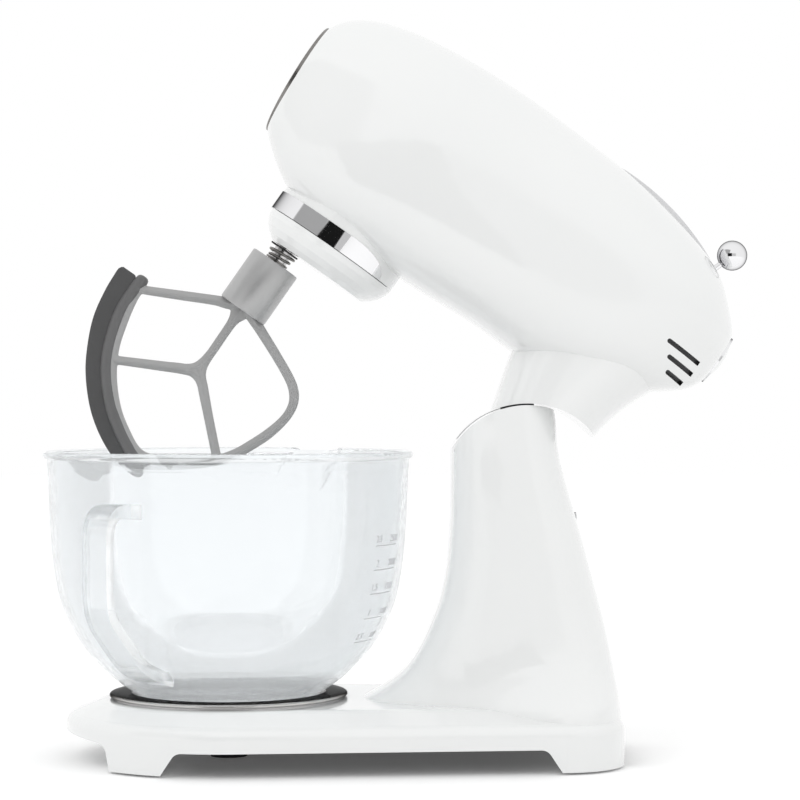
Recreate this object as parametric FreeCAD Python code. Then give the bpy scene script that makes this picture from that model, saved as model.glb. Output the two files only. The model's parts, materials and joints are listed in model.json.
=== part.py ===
"""Tilt-head stand mixer with a glass bowl and a flat beater, as separate pieces.

Millimetres. The origin is on the worktop under the bowl's axis, on the mixer's middle plane:
+X points to the pedestal at the rear, -X to the front, +Z up. The head is modelled closed and
turned up about its hinge pin at the end, because the mixer is kept with its head raised.
"""
import FreeCAD, Part
import math
import os
from FreeCAD import Vector

# ---------------------------------------------------------------- hinge and head placing
HEAD_OPEN = 35.0          # degrees that the raised head stands above closed
PIVOT_X = 191.8           # hinge pin behind the bowl's axis
PIVOT_Z = 173.2           # hinge pin above the worktop
HEAD_X = 194.3            # head datum, closed: forward distances u are measured from here
HEAD_Z = 173.5            # head datum, closed: heights v are measured from here
SADDLE_RADIUS = 54.6      # pedestal's round top, about the hinge pin
SADDLE_GAP = 1.0          # between the pedestal's round top and the neck

# ---------------------------------------------------------------- head shell
HEAD_WIDTH = 130.0
HEAD_WALL = 3.0
HEAD_TOP_POWER = 2.3      # roundness of the head's upper half: 2 is an ellipse
HEAD_LOW_POWER = 3.2
# each row: forward and height of the section's top, of its bottom, share of the width
HEAD_SECTIONS = [
    (-51.2, 156.8, -51.4, 123.6, 0.26),
    (-50.0, 159.3, -50.0, 119.5, 0.33),
    (-46.0, 164.5, -46.0, 113.0, 0.43),
    (-38.0, 172.3, -38.0, 105.5, 0.56),
    (-20.0, 186.3, -22.0, 94.0, 0.75),
    (5.0, 195.3, 3.0, 82.0, 0.89),
    (42.0, 203.0, 42.0, 70.0, 0.97),
    (85.0, 207.0, 85.0, 68.6, 1.00),
    (140.0, 209.0, 140.0, 65.6, 1.00),
    (190.0, 206.8, 190.0, 64.6, 0.98),
    (226.0, 201.8, 224.0, 67.0, 0.90),
    (250.0, 195.0, 246.0, 74.4, 0.79),
    (264.0, 187.6, 259.0, 83.0, 0.70),
    (273.0, 178.8, 267.6, 90.0, 0.64),
    (276.0, 172.9, 271.6, 94.4, 0.605),
]
SECTION_POINTS = 28
NOSE_V = 133.5            # accessory hub's axis above the datum
NOSE_U = 274.6            # middle of the nose ring's front plane
NOSE_LEAN = 3.2           # degrees that the nose ring's top leans forward
NOSE_RADIUS = 38.2
RING_WIDTH = 1.6          # nose ring's wall
RING_DEPTH = 5.0
HUB_BORE = 12.5           # accessory hub bore's radius
HUB_WALL = 5.0
HUB_DEPTH = 30.0
HUB_LIP = 2.0             # hub's mouth ahead of its flange
HUB_DRIVE_ROOM = 14.0     # pocket behind the bore for the accessory drive
DRIVE_RADIUS = 7.5
DRIVE_SQUARE = 8.0
CAP_BULGE = 4.2
CAP_CLEAR = 0.5
CAP_HINGE_DROP = 3.4      # cap's hinge below the top of the ring's bore
CAP_KNUCKLE = 1.5
CAP_EARS = (5.4, 9.0)     # ring's ears, off the middle plane
CAP_PIN_RADIUS = 1.0
REAR_V = 140.2            # rear ring's axis
REAR_U = -51.9
REAR_RADIUS = 16.0
REAR_BULGE = 4.0
REAR_RING_WALL = 1.0
RING_SEAT = 2.4           # depth that the rear ring and cap sit in the shell
VENT_HEIGHT = 3.0
VENT_HEIGHTS = [128.6, 120.6, 112.4]
VENT_FRONTS = [-14.4, -20.4, -25.6]
VENT_REARS = [-41.0, -41.6, -40.0]
VENT_LINER = 2.0

# ---------------------------------------------------------------- neck
NECK_WALL = 4.0
NECK_POWER = 2.5
# each row: height, rear and front, half width
NECK_SECTIONS = [
    (12.0, -12.0, 45.6, 50.0),
    (38.0, -13.5, 52.4, 50.5),
    (66.0, -17.0, 60.2, 51.5),
    (86.0, -23.0, 64.0, 52.0),
    (103.0, -31.0, 66.0, 52.0),
]

# ---------------------------------------------------------------- pedestal and base
PEDESTAL_WALL = 4.0
PEDESTAL_POWER = 3.2
# each row: height, front and rear, half width, widening towards the rear
PEDESTAL_SECTIONS = [
    (24.0, 78.0, 253.0, 70.0, 0.43),
    (38.5, 88.0, 252.4, 66.5, 0.43),
    (50.0, 106.4, 250.4, 62.0, 0.30),
    (63.0, 118.8, 248.0, 57.5, 0.15),
    (80.0, 128.0, 244.6, 55.0, 0.05),
    (101.0, 136.2, 239.4, 53.6, 0.0),
    (127.0, 141.4, 232.4, 52.6, 0.0),
    (153.0, 143.4, 225.2, 51.8, 0.0),
    (179.0, 143.9, 217.6, 51.0, 0.0),
    (205.0, 144.0, 212.4, 50.4, 0.0),
    (232.0, 144.0, 207.8, 50.0, 0.0),
]
BASE_FRONT_RADIUS = 105.0
BASE_REAR_X = 253.0
BASE_REAR_HALF = 86.0
BASE_CORNER = 42.0
BASE_TOP_Z = 38.5
BASE_CREASE_Z = 28.7
BASE_SLOPE = 24.0         # width of the sloping rim round the flat top
BASE_CREASE_ROUND = 8.0
BASE_TOP_ROUND = 20.0
BASE_WALL = 4.0
BASE_ROOF_Z = 19.0        # underside of the base's top wall
SKIRT_Z = 15.6            # lower edge of the wall between the legs
SKIRT_NOSE_Z = 17.6       # lower edge where it leaves the front legs
SKIRT_NOSE_RISE = 0.09    # rise of that edge towards the front
LEG_Z = 1.5
LEG_LEAN = 0.66           # a leg's inner faces widen it by this share of the height
LEG_END_LEAN = 0.2        # the same for its front face and the face towards the middle
LEG_ROUND = 7.0           # inner corner between a leg and the skirt
LEG_INNER_Y = 44.0
FRONT_LEG = (-72.0, -26.0)     # a leg's reach under the skirt
REAR_LEG = (202.0, 253.0)
FOOT_RADIUS = 9.0
FOOT_RECESS = 1.5
COVER_Z = 16.0
COVER_THICK = 1.6
COVER_CLEAR = 0.4
CENTRE_FOOT_RADIUS = 12.0
GROMMET_RADIUS = 6.0
GROMMET_Z = 26.0

# ---------------------------------------------------------------- bowl and its seat
BOWL_RIM_RADIUS = 117.0
BOWL_HEIGHT = 195.6       # bead's centre above the worktop
BEAD_RADIUS = 2.6
COLLAR_DROP = 8.0         # upright stretch of the wall below and above the bead's centre
COLLAR_RISE = 1.6
GLASS = 4.0
GLASS_FLOOR = 8.0
SPOUT_REACH = 11.0        # pouring lip beyond the rim
SPOUT_RISE = 0.8          # lip above the bead's centre
SPOUT_RADIUS = 26.0
SPOUT_HEIGHT = 40.0
SPOUT_LOW_RADIUS = 10.0
SPOUT_ROOT = 6.0          # its low end, inside the rim's radius
BOWL_BOTTOM_Z = 25.0
# outer wall: share of the rim's radius, share of the way from the bottom to the bead
BOWL_WALL = [
    (0.340, 0.000), (0.430, 0.035), (0.513, 0.095), (0.606, 0.141), (0.725, 0.217), (0.817, 0.293),
    (0.878, 0.369), (0.925, 0.446), (0.950, 0.522), (0.967, 0.598), (0.978, 0.674), (0.9865, 0.770),
    (0.993, 0.870), (1.000, 0.975),
]
FLANGE_RADIUS = 76.5
FLANGE_Z = 39.8
FLANGE_THICK = 1.7
CUP_RADIUS = 62.5
CUP_THICK = 1.2
CUP_CLEAR = 0.3
SEAT_OUTER = 74.0
SEAT_THICK = 2.2
SEAT_PROUD = 1.2          # seat ring above the base's top
SEAT_RADIAL_CLEAR = 0.8
LUG_REACH = 4.0
LUG_THICK = 2.5
LUG_SPAN = 18.0           # degrees round the cup
LUG_COUNT = 3
LUG_CLEAR = 0.3
POCKET_DEPTH = 2.0        # recess floor below the cup
BOWL_TURN = 30.0
HANDLE_AZIMUTH = -117.5   # degrees from +X, seen from above
HANDLE_WIDTH = 17.3
HANDLE_THICK = 8.0
# middle line of the handle's strap: outside the rim's radius, above the rim's bead
HANDLE_PATH = [
    (-9.0, -31.8), (16.0, -31.6), (27.0, -34.6), (32.0, -44.0), (32.3, -58.0), (32.1, -81.0),
    (28.4, -95.0), (18.5, -106.5), (6.0, -118.0), (-6.5, -127.6), (-20.0, -133.4), (-38.0, -138.6),
]

# ---------------------------------------------------------------- hinge
PIN_RADIUS = 6.0
PIN_CLEAR = 0.06
BUSH_WALL = 2.0
RIB_GAP = 15.0            # half the channel between the pedestal's two ribs
RIB_THICK = 7.0
TONGUE_HALF = 11.5
BARREL_RADIUS = 14.0
TONGUE_ANGLE = 50.0       # degrees up from straight forward, head closed
TONGUE_HALF_ANGLE = 11.0
SLOT_MARGIN = 2.5
SHIELD_THICK = 2.0
SHIELD_CLEAR = 1.0        # between the shield and the pedestal's front wall
LOCK_Z = 150.0
LOCK_RADIUS = 8.0
LOCK_ROD = 2.6
LOCK_WEB = 1.6            # web that guides the lock's rod
LOCK_WEB_X = 12.0         # web behind the hinge pin
LOCK_CLEAR = 0.4

# ---------------------------------------------------------------- planetary drive and beater
BOSS_RADIUS = 47.0
BOSS_V = 55.6
BOSS_WALL = 3.0
BAND_HEIGHT = 12.5
BAND_THICK = 0.35
BAND_SPAN = 222.0
BAND_END = 26.0           # length of the band's rounded ends
ORBIT = 24.7
RING_TEETH = 42
PLANET_TEETH = 12
GEAR_FACE = 7.0
GEAR_V = 58.4
BACKLASH = 0.28
DISH_CLEAR = 0.4
DISH_V = 38.5
SHAFT_RADIUS = 6.35
MAIN_RADIUS = 7.0
WASHER_RADIUS = 10.2
SPRING_WIRE = 0.8
SPRING_CLEAR = 0.5
SPRING_TURNS = 4
HUB_RADIUS = 17.0
HUB_TOP_B = 27.5
HUB_LOW_B = -17.5
PRESS = 3.0               # beater's travel against the spring
DRIVE_PIN_RADIUS = 2.0
DRIVE_PIN_B = 14.0
SHAFT_END_B = 2.0
FRAME_THICK = 8.0
WIPER_THICK = 6.5

# ---------------------------------------------------------------- bevel gears and motor
BEVEL_MODULE = 1.6
PINION_TEETH = 10
CROWN_TEETH = 40
BEVEL_FACE = 9.0
BEVEL_BACKLASH = 0.5
ROTOR_SHAFT = 4.0
ROTOR_RADIUS = 24.0
AIR_GAP = 0.6
STATOR_RADIUS = 42.0
STATOR_U = (82.0, 126.0)
FRONT_BEARING_U = 138.0
REAR_BEARING_U = 50.0
BEARING_WIDTH = 8.0
BEARING_WALL = 7.0
BRACKET_THICK = 5.0
BOLT_RADIUS = 1.8
BOLT_HEAD = 3.2

# ---------------------------------------------------------------- speed lever and strip
LEVER_ARC_U = 61.3        # centre of the arc along which the lever slides
LEVER_ARC_V = 36.6
LEVER_ARC_RADIUS = 168.4
STRIP_HALF = 12.0
STRIP_THICK = 3.0
STRIP_PROUD = 0.8
STRIP_REAR = 30.5         # degrees behind straight up, seen from the arc's centre
STRIP_FRONT = -4.5
LEVER_REAR = 27.4
LEVER_TRAVEL = 28.0
STEM_RADIUS = 1.75
STEM_CLEAR = 0.4
STEM_LENGTH = 16.2
STEM_LEAN = 18.3          # degrees that the stem leans back in the off place
BALL_RADIUS = 9.75

UP = Vector(0, 0, 1)
ACROSS = Vector(0, 1, 0)
FORWARD = Vector(-1, 0, 0)


# ---------------------------------------------------------------- small shapes
def box(x0, x1, y0, y1, z0, z1):
    return Part.makeBox(x1 - x0, y1 - y0, z1 - z0, Vector(x0, y0, z0))


def rod(start, end, radius):
    along = end - start
    return Part.makeCylinder(radius, along.Length, start, along)


def tube(start, end, outer, inner):
    return rod(start, end, outer).cut(rod(start, end, inner))


def placed(shape, base, axis):
    """The shape, built about +Z at the origin, moved so that it stands on base along axis."""
    result = shape.copy()
    result.Placement = FreeCAD.Placement(base, FreeCAD.Rotation(UP, axis))
    return result


def turned(outline, base=Vector(0, 0, 0), axis=UP):
    """Solid of revolution of a closed outline of (radius, height) about an axis through base."""
    points = [Vector(radius, 0, height) for radius, height in outline]
    face = Part.Face(Part.makePolygon(points + points[:1]))
    solid = face.revolve(Vector(0, 0, 0), UP, 360)
    if solid.Volume < 0:
        solid.reverse()
    return placed(solid, base, axis)


def smooth(points, closed=False):
    curve = Part.BSplineCurve()
    curve.interpolate(Points=points, PeriodicFlag=closed)
    return curve.toShape()


def superellipse(centre, across, up, top_power, low_power, taper=0.0):
    """Closed smooth section: across and up are its half axes, a power of 2 is an ellipse.

    The taper is the share by which it is wider at the far end of up than in the middle.
    """
    points = []
    for index in range(SECTION_POINTS):
        angle = 2 * math.pi * index / SECTION_POINTS
        cosine, sine = math.cos(angle), math.sin(angle)
        power = top_power if sine >= 0 else low_power
        sideways = math.copysign(abs(cosine) ** (2 / power), cosine)
        upward = math.copysign(abs(sine) ** (2 / power), sine)
        points.append(centre + across * sideways * (1 + taper * upward) + up * upward)
    return Part.Wire(smooth(points, closed=True))


def plan_section(z, x0, x1, half, power, taper=0.0):
    """Horizontal rounded section between x0 and x1, wider towards x1 with the taper."""
    centre = Vector((x0 + x1) / 2, 0, z)
    return superellipse(centre, ACROSS * half, Vector((x1 - x0) / 2, 0, 0), power, power, taper)


def sector(centre, inner, outer, start, end, y0, y1):
    """Part of a ring about an axis along Y, between two angles measured up from straight forward."""
    def point(radius, angle):
        turn = math.radians(angle)
        return centre + Vector(-radius * math.cos(turn), 0, radius * math.sin(turn))

    middle = (start + end) / 2
    edges = [Part.Arc(point(outer, start), point(outer, middle), point(outer, end)).toShape()]
    if inner > 0:
        edges.append(Part.makeLine(point(outer, end), point(inner, end)))
        edges.append(Part.Arc(point(inner, end), point(inner, middle), point(inner, start)).toShape())
        edges.append(Part.makeLine(point(inner, start), point(outer, start)))
    else:
        edges.append(Part.makeLine(point(outer, end), centre))
        edges.append(Part.makeLine(centre, point(outer, start)))
    face = Part.Face(Part.Wire(edges))
    face.translate(ACROSS * y0)
    return face.extrude(ACROSS * (y1 - y0))


def plate(points, thick):
    """Plate in the middle plane with the outline's corners as given, centred on y = 0."""
    face = Part.Face(Part.makePolygon(points + points[:1]))
    face.translate(ACROSS * (-thick / 2))
    return face.extrude(ACROSS * thick)


def coil(base, axis, radius, wire, length, turns):
    """Helical spring whose wire lies inside the given length."""
    helix = Part.makeHelix((length - 2 * wire) / turns, length - 2 * wire, radius)
    helix.translate(UP * wire)
    circle = Part.makeCircle(wire, Vector(radius, 0, wire), ACROSS)
    spring = Part.Wire(helix.Edges).makePipeShell([Part.Wire(circle)], True, True)
    return placed(spring, base, axis)


def screw(head, direction, length, radius, head_radius, head_height):
    """Screw with its head's outer face at head, pointing along direction."""
    direction = Vector(direction).normalize()
    cap = rod(head, head + direction * head_height, head_radius)
    drive = Part.makeCylinder(head_radius * 0.45, head_height * 0.5, head, direction)
    shank = rod(head + direction * (head_height * 0.9), head + direction * length, radius)
    return cap.fuse(shank).cut(drive)


def largest(shape):
    return max(shape.Solids, key=lambda solid: solid.Volume)


def group(shapes):
    return Part.makeCompound(shapes)


# ---------------------------------------------------------------- frames
def head_point(u, v, y=0.0):
    """Point on the closed head: u forward of and v above the head's datum."""
    return Vector(HEAD_X - u, y, HEAD_Z + v)


def beater_point(a, b, y=0.0):
    """Point on the closed beater: a forward of its shaft, b above the head's datum."""
    return Vector(-ORBIT - a, y, HEAD_Z + b)


PIVOT = Vector(PIVOT_X, 0, PIVOT_Z)
PLANET_U = HEAD_X         # the closed planetary axis is the bowl's axis


def about_pivot(radius, half_width):
    return rod(PIVOT - ACROSS * half_width, PIVOT + ACROSS * half_width, radius)


# ---------------------------------------------------------------- head shell and its trim
def head_form(inset=0.0):
    """The head's outer form, or the same form drawn in by a wall."""
    wires = []
    for top_u, top_v, low_u, low_v, share in HEAD_SECTIONS:
        top = head_point(top_u, top_v - inset)
        low = head_point(low_u, low_v + inset)
        across = ACROSS * (HEAD_WIDTH / 2 * share - inset)
        wires.append(superellipse((top + low) / 2, across, (top - low) / 2, HEAD_TOP_POWER, HEAD_LOW_POWER))
    return Part.makeLoft(wires, True, False)


def nose_point(forward, radial=0.0, y=0.0):
    """Point on the leaning nose: forward of the ring's front plane, radial upwards."""
    lean = math.radians(NOSE_LEAN)
    axis = Vector(-math.cos(lean), 0, -math.sin(lean))
    upward = Vector(-math.sin(lean), 0, math.cos(lean))
    return head_point(NOSE_U, NOSE_V, y) + axis * forward + upward * radial


def strip_body(inner, outer, half):
    centre = head_point(LEVER_ARC_U, LEVER_ARC_V)
    return sector(centre, inner, outer, 90 + STRIP_FRONT, 90 + STRIP_REAR, -half, half)


def lever_slot(half):
    """Curved slot that the lever's stem slides along."""
    centre = head_point(LEVER_ARC_U, LEVER_ARC_V)
    margin = math.degrees((STEM_RADIUS + STEM_CLEAR + 3.0) / LEVER_ARC_RADIUS)
    start = 90 + LEVER_REAR - LEVER_TRAVEL - margin
    return sector(centre, LEVER_ARC_RADIUS - 12, LEVER_ARC_RADIUS + 6, start, 90 + LEVER_REAR + margin,
                  -half, half)


def vent_slots(half):
    slots = []
    for height, front, rear in zip(VENT_HEIGHTS, VENT_FRONTS, VENT_REARS):
        low = head_point(front - VENT_HEIGHT / 2, height)
        end = head_point(rear, height)
        slots.append(box(low.x, end.x, -half, half, low.z - VENT_HEIGHT / 2, low.z + VENT_HEIGHT / 2))
        slots.append(rod(low - ACROSS * half, low + ACROSS * half, VENT_HEIGHT / 2))
    return slots


def boss_cylinder(radius, low_v, high_v):
    return rod(head_point(PLANET_U, low_v), head_point(PLANET_U, high_v), radius)


def head_shell():
    boss_root = NOSE_V - 45
    outer = head_form().fuse(boss_cylinder(BOSS_RADIUS, BOSS_V, boss_root))
    nose_cut = rod(nose_point(-RING_DEPTH), nose_point(20), NOSE_RADIUS * 2)
    inner = head_form(HEAD_WALL).fuse(boss_cylinder(BOSS_RADIUS - BOSS_WALL, BOSS_V - 1, boss_root + 8))
    shell = outer.cut(inner).cut(rod(nose_point(-RING_DEPTH), nose_point(20), NOSE_RADIUS))
    shell = shell.cut(strip_body(LEVER_ARC_RADIUS - STRIP_THICK, LEVER_ARC_RADIUS + 8, STRIP_HALF))
    shell = shell.cut(lever_slot(STEM_RADIUS + STEM_CLEAR + 1.0))
    for slot in vent_slots(HEAD_WIDTH):
        shell = shell.cut(slot)
    shell = shell.cut(rod(rear_point(-RING_SEAT), rear_point(20), REAR_RADIUS + REAR_RING_WALL))
    for point in tongue_bolt_points():
        shell = shell.cut(rod(point - UP * 20, point + UP * 20, BOLT_RADIUS + 0.3))
        shell = shell.cut(rod(tongue_bolt_seat(point), tongue_bolt_seat(point) + UP * 8, BOLT_HEAD + 0.4))
    return largest(shell)


def vent_grilles():
    """Black liners behind the vent slots, one at each side."""
    liner = head_form(HEAD_WALL).cut(head_form(HEAD_WALL + VENT_LINER))
    top = head_point(min(VENT_REARS) - 3, VENT_HEIGHTS[0] + 4)
    low = head_point(VENT_FRONTS[0] + 5, VENT_HEIGHTS[-1] - 4)
    sides = []
    for side in (-1, 1):
        y0, y1 = sorted((side * 8.0, side * HEAD_WIDTH / 2))
        sides.append(largest(liner.common(box(low.x, top.x, y0, y1, low.z, top.z))))
    return group(sides)


def nose_ring():
    """Chrome ring with two ears that hold the cap's pin."""
    ring = tube(nose_point(-RING_DEPTH), nose_point(0), NOSE_RADIUS, NOSE_RADIUS - RING_WIDTH)
    inside = rod(nose_point(-RING_DEPTH), nose_point(4), NOSE_RADIUS)
    return ring.fuse(cap_knuckles(0.0).common(inside)).cut(cap_pin_bore())


def cap_hinge_point(y):
    return nose_point(0.0, NOSE_RADIUS - RING_WIDTH - CAP_HINGE_DROP, y)


def cap_knuckles(grow):
    """Two ears at the cap's hinge, grown all round by a clearance."""
    start, end = CAP_EARS
    ears = []
    for side in (-1, 1):
        y0, y1 = sorted((side * start, side * end))
        ear = rod(cap_hinge_point(y0 - grow), cap_hinge_point(y1 + grow), CAP_KNUCKLE + grow)
        low = nose_point(-2.4 - grow, NOSE_RADIUS - RING_WIDTH - CAP_HINGE_DROP - 1.2 - grow)
        high = nose_point(0.0, NOSE_RADIUS - 0.3)
        block = box(min(low.x, high.x), max(low.x, high.x), y0 - grow, y1 + grow, low.z, high.z)
        ears.append(ear.fuse(block))
    return ears[0].fuse(ears[1])


def cap_pin_bore():
    return rod(cap_hinge_point(-12), cap_hinge_point(12), CAP_PIN_RADIUS + PIN_CLEAR)


def hub_cap():
    """Domed cap over the accessory hub, with stub pins at its top that hinge in the ring's ears."""
    radius = NOSE_RADIUS - RING_WIDTH - CAP_CLEAR
    sphere = (radius ** 2 + CAP_BULGE ** 2) / (2 * CAP_BULGE)
    dome = Part.makeSphere(sphere, nose_point(CAP_BULGE - sphere))
    cap = dome.common(rod(nose_point(-1.2), nose_point(CAP_BULGE + 1), radius))
    hinge = NOSE_RADIUS - RING_WIDTH - CAP_HINGE_DROP
    above = nose_point(0, hinge + 2.2)
    cap = cap.cut(box(above.x - 20, above.x + 20, -40, 40, above.z, above.z + 20))
    cap = cap.cut(cap_knuckles(0.4))
    cap = cap.fuse(rod(cap_hinge_point(-5.0), cap_hinge_point(5.0), CAP_KNUCKLE))
    return largest(cap.fuse(rod(cap_hinge_point(-9.0), cap_hinge_point(9.0), CAP_PIN_RADIUS)))


def hub_socket():
    """Accessory hub: flange that closes the nose, and the bore that attachments slide into."""
    flange = rod(nose_point(-RING_DEPTH - 3), nose_point(-RING_DEPTH), NOSE_RADIUS - 1.0)
    barrel = rod(hub_back_point(0), hub_back_point(HUB_DEPTH + HUB_LIP), HUB_BORE + HUB_WALL)
    bore = rod(hub_back_point(HUB_DRIVE_ROOM), hub_back_point(HUB_DEPTH + RING_DEPTH), HUB_BORE)
    room = rod(hub_back_point(3), hub_back_point(HUB_DRIVE_ROOM + 1), DRIVE_RADIUS + 1)
    drive_hole = rod(hub_back_point(-1), hub_back_point(4), ROTOR_SHAFT + 1)
    return flange.fuse(barrel).cut(bore).cut(room).cut(drive_hole)


def rear_point(back):
    return head_point(REAR_U - back, REAR_V)


def rear_ring():
    return tube(rear_point(-RING_SEAT), rear_point(0.6), REAR_RADIUS + REAR_RING_WALL, REAR_RADIUS)


def rear_cap():
    """Domed rear cap inside its ring."""
    sphere = (REAR_RADIUS ** 2 + REAR_BULGE ** 2) / (2 * REAR_BULGE)
    dome = Part.makeSphere(sphere, rear_point(REAR_BULGE - sphere))
    return dome.common(rod(rear_point(-RING_SEAT), rear_point(REAR_BULGE + 1), REAR_RADIUS))


# ---------------------------------------------------------------- speed lever
def lever_base():
    turn = math.radians(LEVER_REAR)
    centre = head_point(LEVER_ARC_U, LEVER_ARC_V)
    return centre + Vector(math.sin(turn), 0, math.cos(turn)) * LEVER_ARC_RADIUS


def lever_direction():
    lean = math.radians(STEM_LEAN)
    return Vector(math.sin(lean), 0, math.cos(lean))


def speed_strip():
    strip = strip_body(LEVER_ARC_RADIUS - STRIP_THICK, LEVER_ARC_RADIUS + STRIP_PROUD, STRIP_HALF)
    return strip.cut(lever_slot(STEM_RADIUS + STEM_CLEAR))


def lever_stem():
    base = lever_base()
    axis = lever_direction()
    return rod(base - axis * 9, base + axis * (STEM_LENGTH - BALL_RADIUS * 0.5), STEM_RADIUS)


def lever_ball():
    ball = Part.makeSphere(BALL_RADIUS, lever_base() + lever_direction() * STEM_LENGTH)
    return ball.cut(lever_stem())


def lever_carriage():
    """Slider under the strip, carried by the lever's stem."""
    axis = lever_direction()
    start = lever_base() - axis * 13
    block = Part.makeBox(12, 16, 5, Vector(-6, -8, 0))
    return placed(block, start, axis).cut(lever_stem())


def speed_sensor():
    """Curved slide resistor that the carriage runs over."""
    centre = head_point(LEVER_ARC_U, LEVER_ARC_V)
    outer = LEVER_ARC_RADIUS - 20
    return sector(centre, outer - 2, outer, 90 + STRIP_FRONT, 90 + STRIP_REAR, -9, 9)


def control_board():
    low = head_point(28, 152)
    high = head_point(-22, 154)
    board = box(low.x, high.x, -30, 30, low.z, high.z)
    chips = [box(low.x + 8 + 14 * i, low.x + 16 + 14 * i, -14, 6, low.z - 4, low.z) for i in range(3)]
    for chip in chips:
        board = board.fuse(chip)
    return board


# ---------------------------------------------------------------- neck and hinge
def neck_form(inset=0.0):
    wires = []
    for height, rear, front, half in NECK_SECTIONS:
        low = head_point(front - inset, height)
        high = head_point(rear + inset, height)
        wires.append(plan_section(low.z, low.x, high.x, half - inset, NECK_POWER))
    return Part.makeLoft(wires, True, False)


def neck_shell():
    """Casting between the head and the pedestal's round top."""
    radius = SADDLE_RADIUS + SADDLE_GAP
    outer = neck_form().cut(about_pivot(radius, 80)).cut(head_form())
    inner = neck_form(NECK_WALL).cut(about_pivot(radius + NECK_WALL, 80))
    neck = largest(outer).cut(inner)
    return largest(neck.cut(tongue_sweep(0.0, 0.0, 0.0)))


def tongue_sweep(before, after, grow):
    """Radial arm of the tongue, widened by some degrees before and after."""
    start = TONGUE_ANGLE - TONGUE_HALF_ANGLE - before
    end = TONGUE_ANGLE + TONGUE_HALF_ANGLE + after
    half = TONGUE_HALF + grow
    return sector(PIVOT, 0, SADDLE_RADIUS + SADDLE_GAP + NECK_WALL, start, end, -half, half)


def tongue_bolt_points():
    """Bolt places where the tongue's foot meets the head shell."""
    low = head_point(30, 0)
    floor_z = HEAD_Z + 76
    return [Vector(low.x + dx, dy, floor_z) for dx, dy in ((-14, -7), (-14, 7), (12, -7), (12, 7))]


def hinge_tongue():
    """Arm on the hinge pin that carries the head, with a foot bolted to the shell's floor."""
    half = TONGUE_HALF
    barrel = about_pivot(BARREL_RADIUS, half)
    arm = tongue_sweep(0.0, 0.0, 0.0).cut(about_pivot(BARREL_RADIUS - 2, half + 1))
    low = head_point(52, 60)
    high = head_point(8, 96)
    foot = box(low.x, high.x, -half, half, low.z - 4, high.z)
    foot = foot.cut(about_pivot(SADDLE_RADIUS + SADDLE_GAP + NECK_WALL - 0.5, half + 1)).cut(head_form())
    tongue = barrel.fuse(arm).fuse(largest(foot))
    tongue = tongue.cut(about_pivot(PIN_RADIUS + PIN_CLEAR + BUSH_WALL, half + 1))
    for point in tongue_bolt_points():
        tongue = tongue.cut(rod(point - UP * 14, point + UP * 30, BOLT_RADIUS))
    return largest(tongue)


def tongue_bolt_seat(point):
    """Flat seat for a bolt's head, just under the shell's sloping floor."""
    return Vector(point.x, point.y, head_floor_z(point) - 0.4)


def tongue_bolts():
    height = 3.0
    return group([screw(tongue_bolt_seat(point) + UP * height, -UP, 14, BOLT_RADIUS, BOLT_HEAD, height)
                  for point in tongue_bolt_points()])


def head_floor_z(point):
    """Height of the head shell's inner floor above a point."""
    line = Part.makeLine(Vector(point.x, point.y, HEAD_Z + 50), Vector(point.x, point.y, HEAD_Z + 130))
    return line.common(head_form(HEAD_WALL)).BoundBox.ZMin


def slot_shield():
    """Curved plate on the tongue that closes the slot ahead of it."""
    start = TONGUE_ANGLE - TONGUE_HALF_ANGLE - HEAD_OPEN - 3
    end = TONGUE_ANGLE - TONGUE_HALF_ANGLE
    wall = max(front for _, front, _, _, _ in PEDESTAL_SECTIONS) + PEDESTAL_WALL
    outer = PIVOT_X - wall - SHIELD_CLEAR
    return sector(PIVOT, outer - SHIELD_THICK, outer, start, end, -RIB_GAP + 1, RIB_GAP - 1)


def hinge_bushes():
    """Two flanged bushes, pressed into the tongue from its sides."""
    bore = PIN_RADIUS + PIN_CLEAR
    bushes = []
    for side in (-1, 1):
        middle = PIVOT + ACROSS * side * 0.2
        face = PIVOT + ACROSS * side * TONGUE_HALF
        rim = PIVOT + ACROSS * side * (RIB_GAP - 0.3)
        sleeve = tube(middle, face, bore + BUSH_WALL, bore)
        bushes.append(sleeve.fuse(tube(face, rim, BARREL_RADIUS - 2, bore)))
    return group(bushes)


def hinge_pin():
    reach = RIB_GAP + RIB_THICK
    return rod(PIVOT - ACROSS * reach, PIVOT + ACROSS * reach, PIN_RADIUS)


# ---------------------------------------------------------------- pedestal and base
def pedestal_form(inset=0.0):
    wires = []
    for z, front, rear, half, taper in PEDESTAL_SECTIONS:
        wires.append(plan_section(z, front + inset, rear - inset, half - inset, PEDESTAL_POWER, taper))
    return Part.makeLoft(wires, True, False)


def saddle_limit(radius):
    """Everything below the pivot's front saddle point, and the round top above it."""
    front_z = PIVOT_Z + radius * math.sin(math.radians(28.9))
    return box(0, 300, -120, 120, 0, front_z).fuse(about_pivot(radius, 120))


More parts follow.
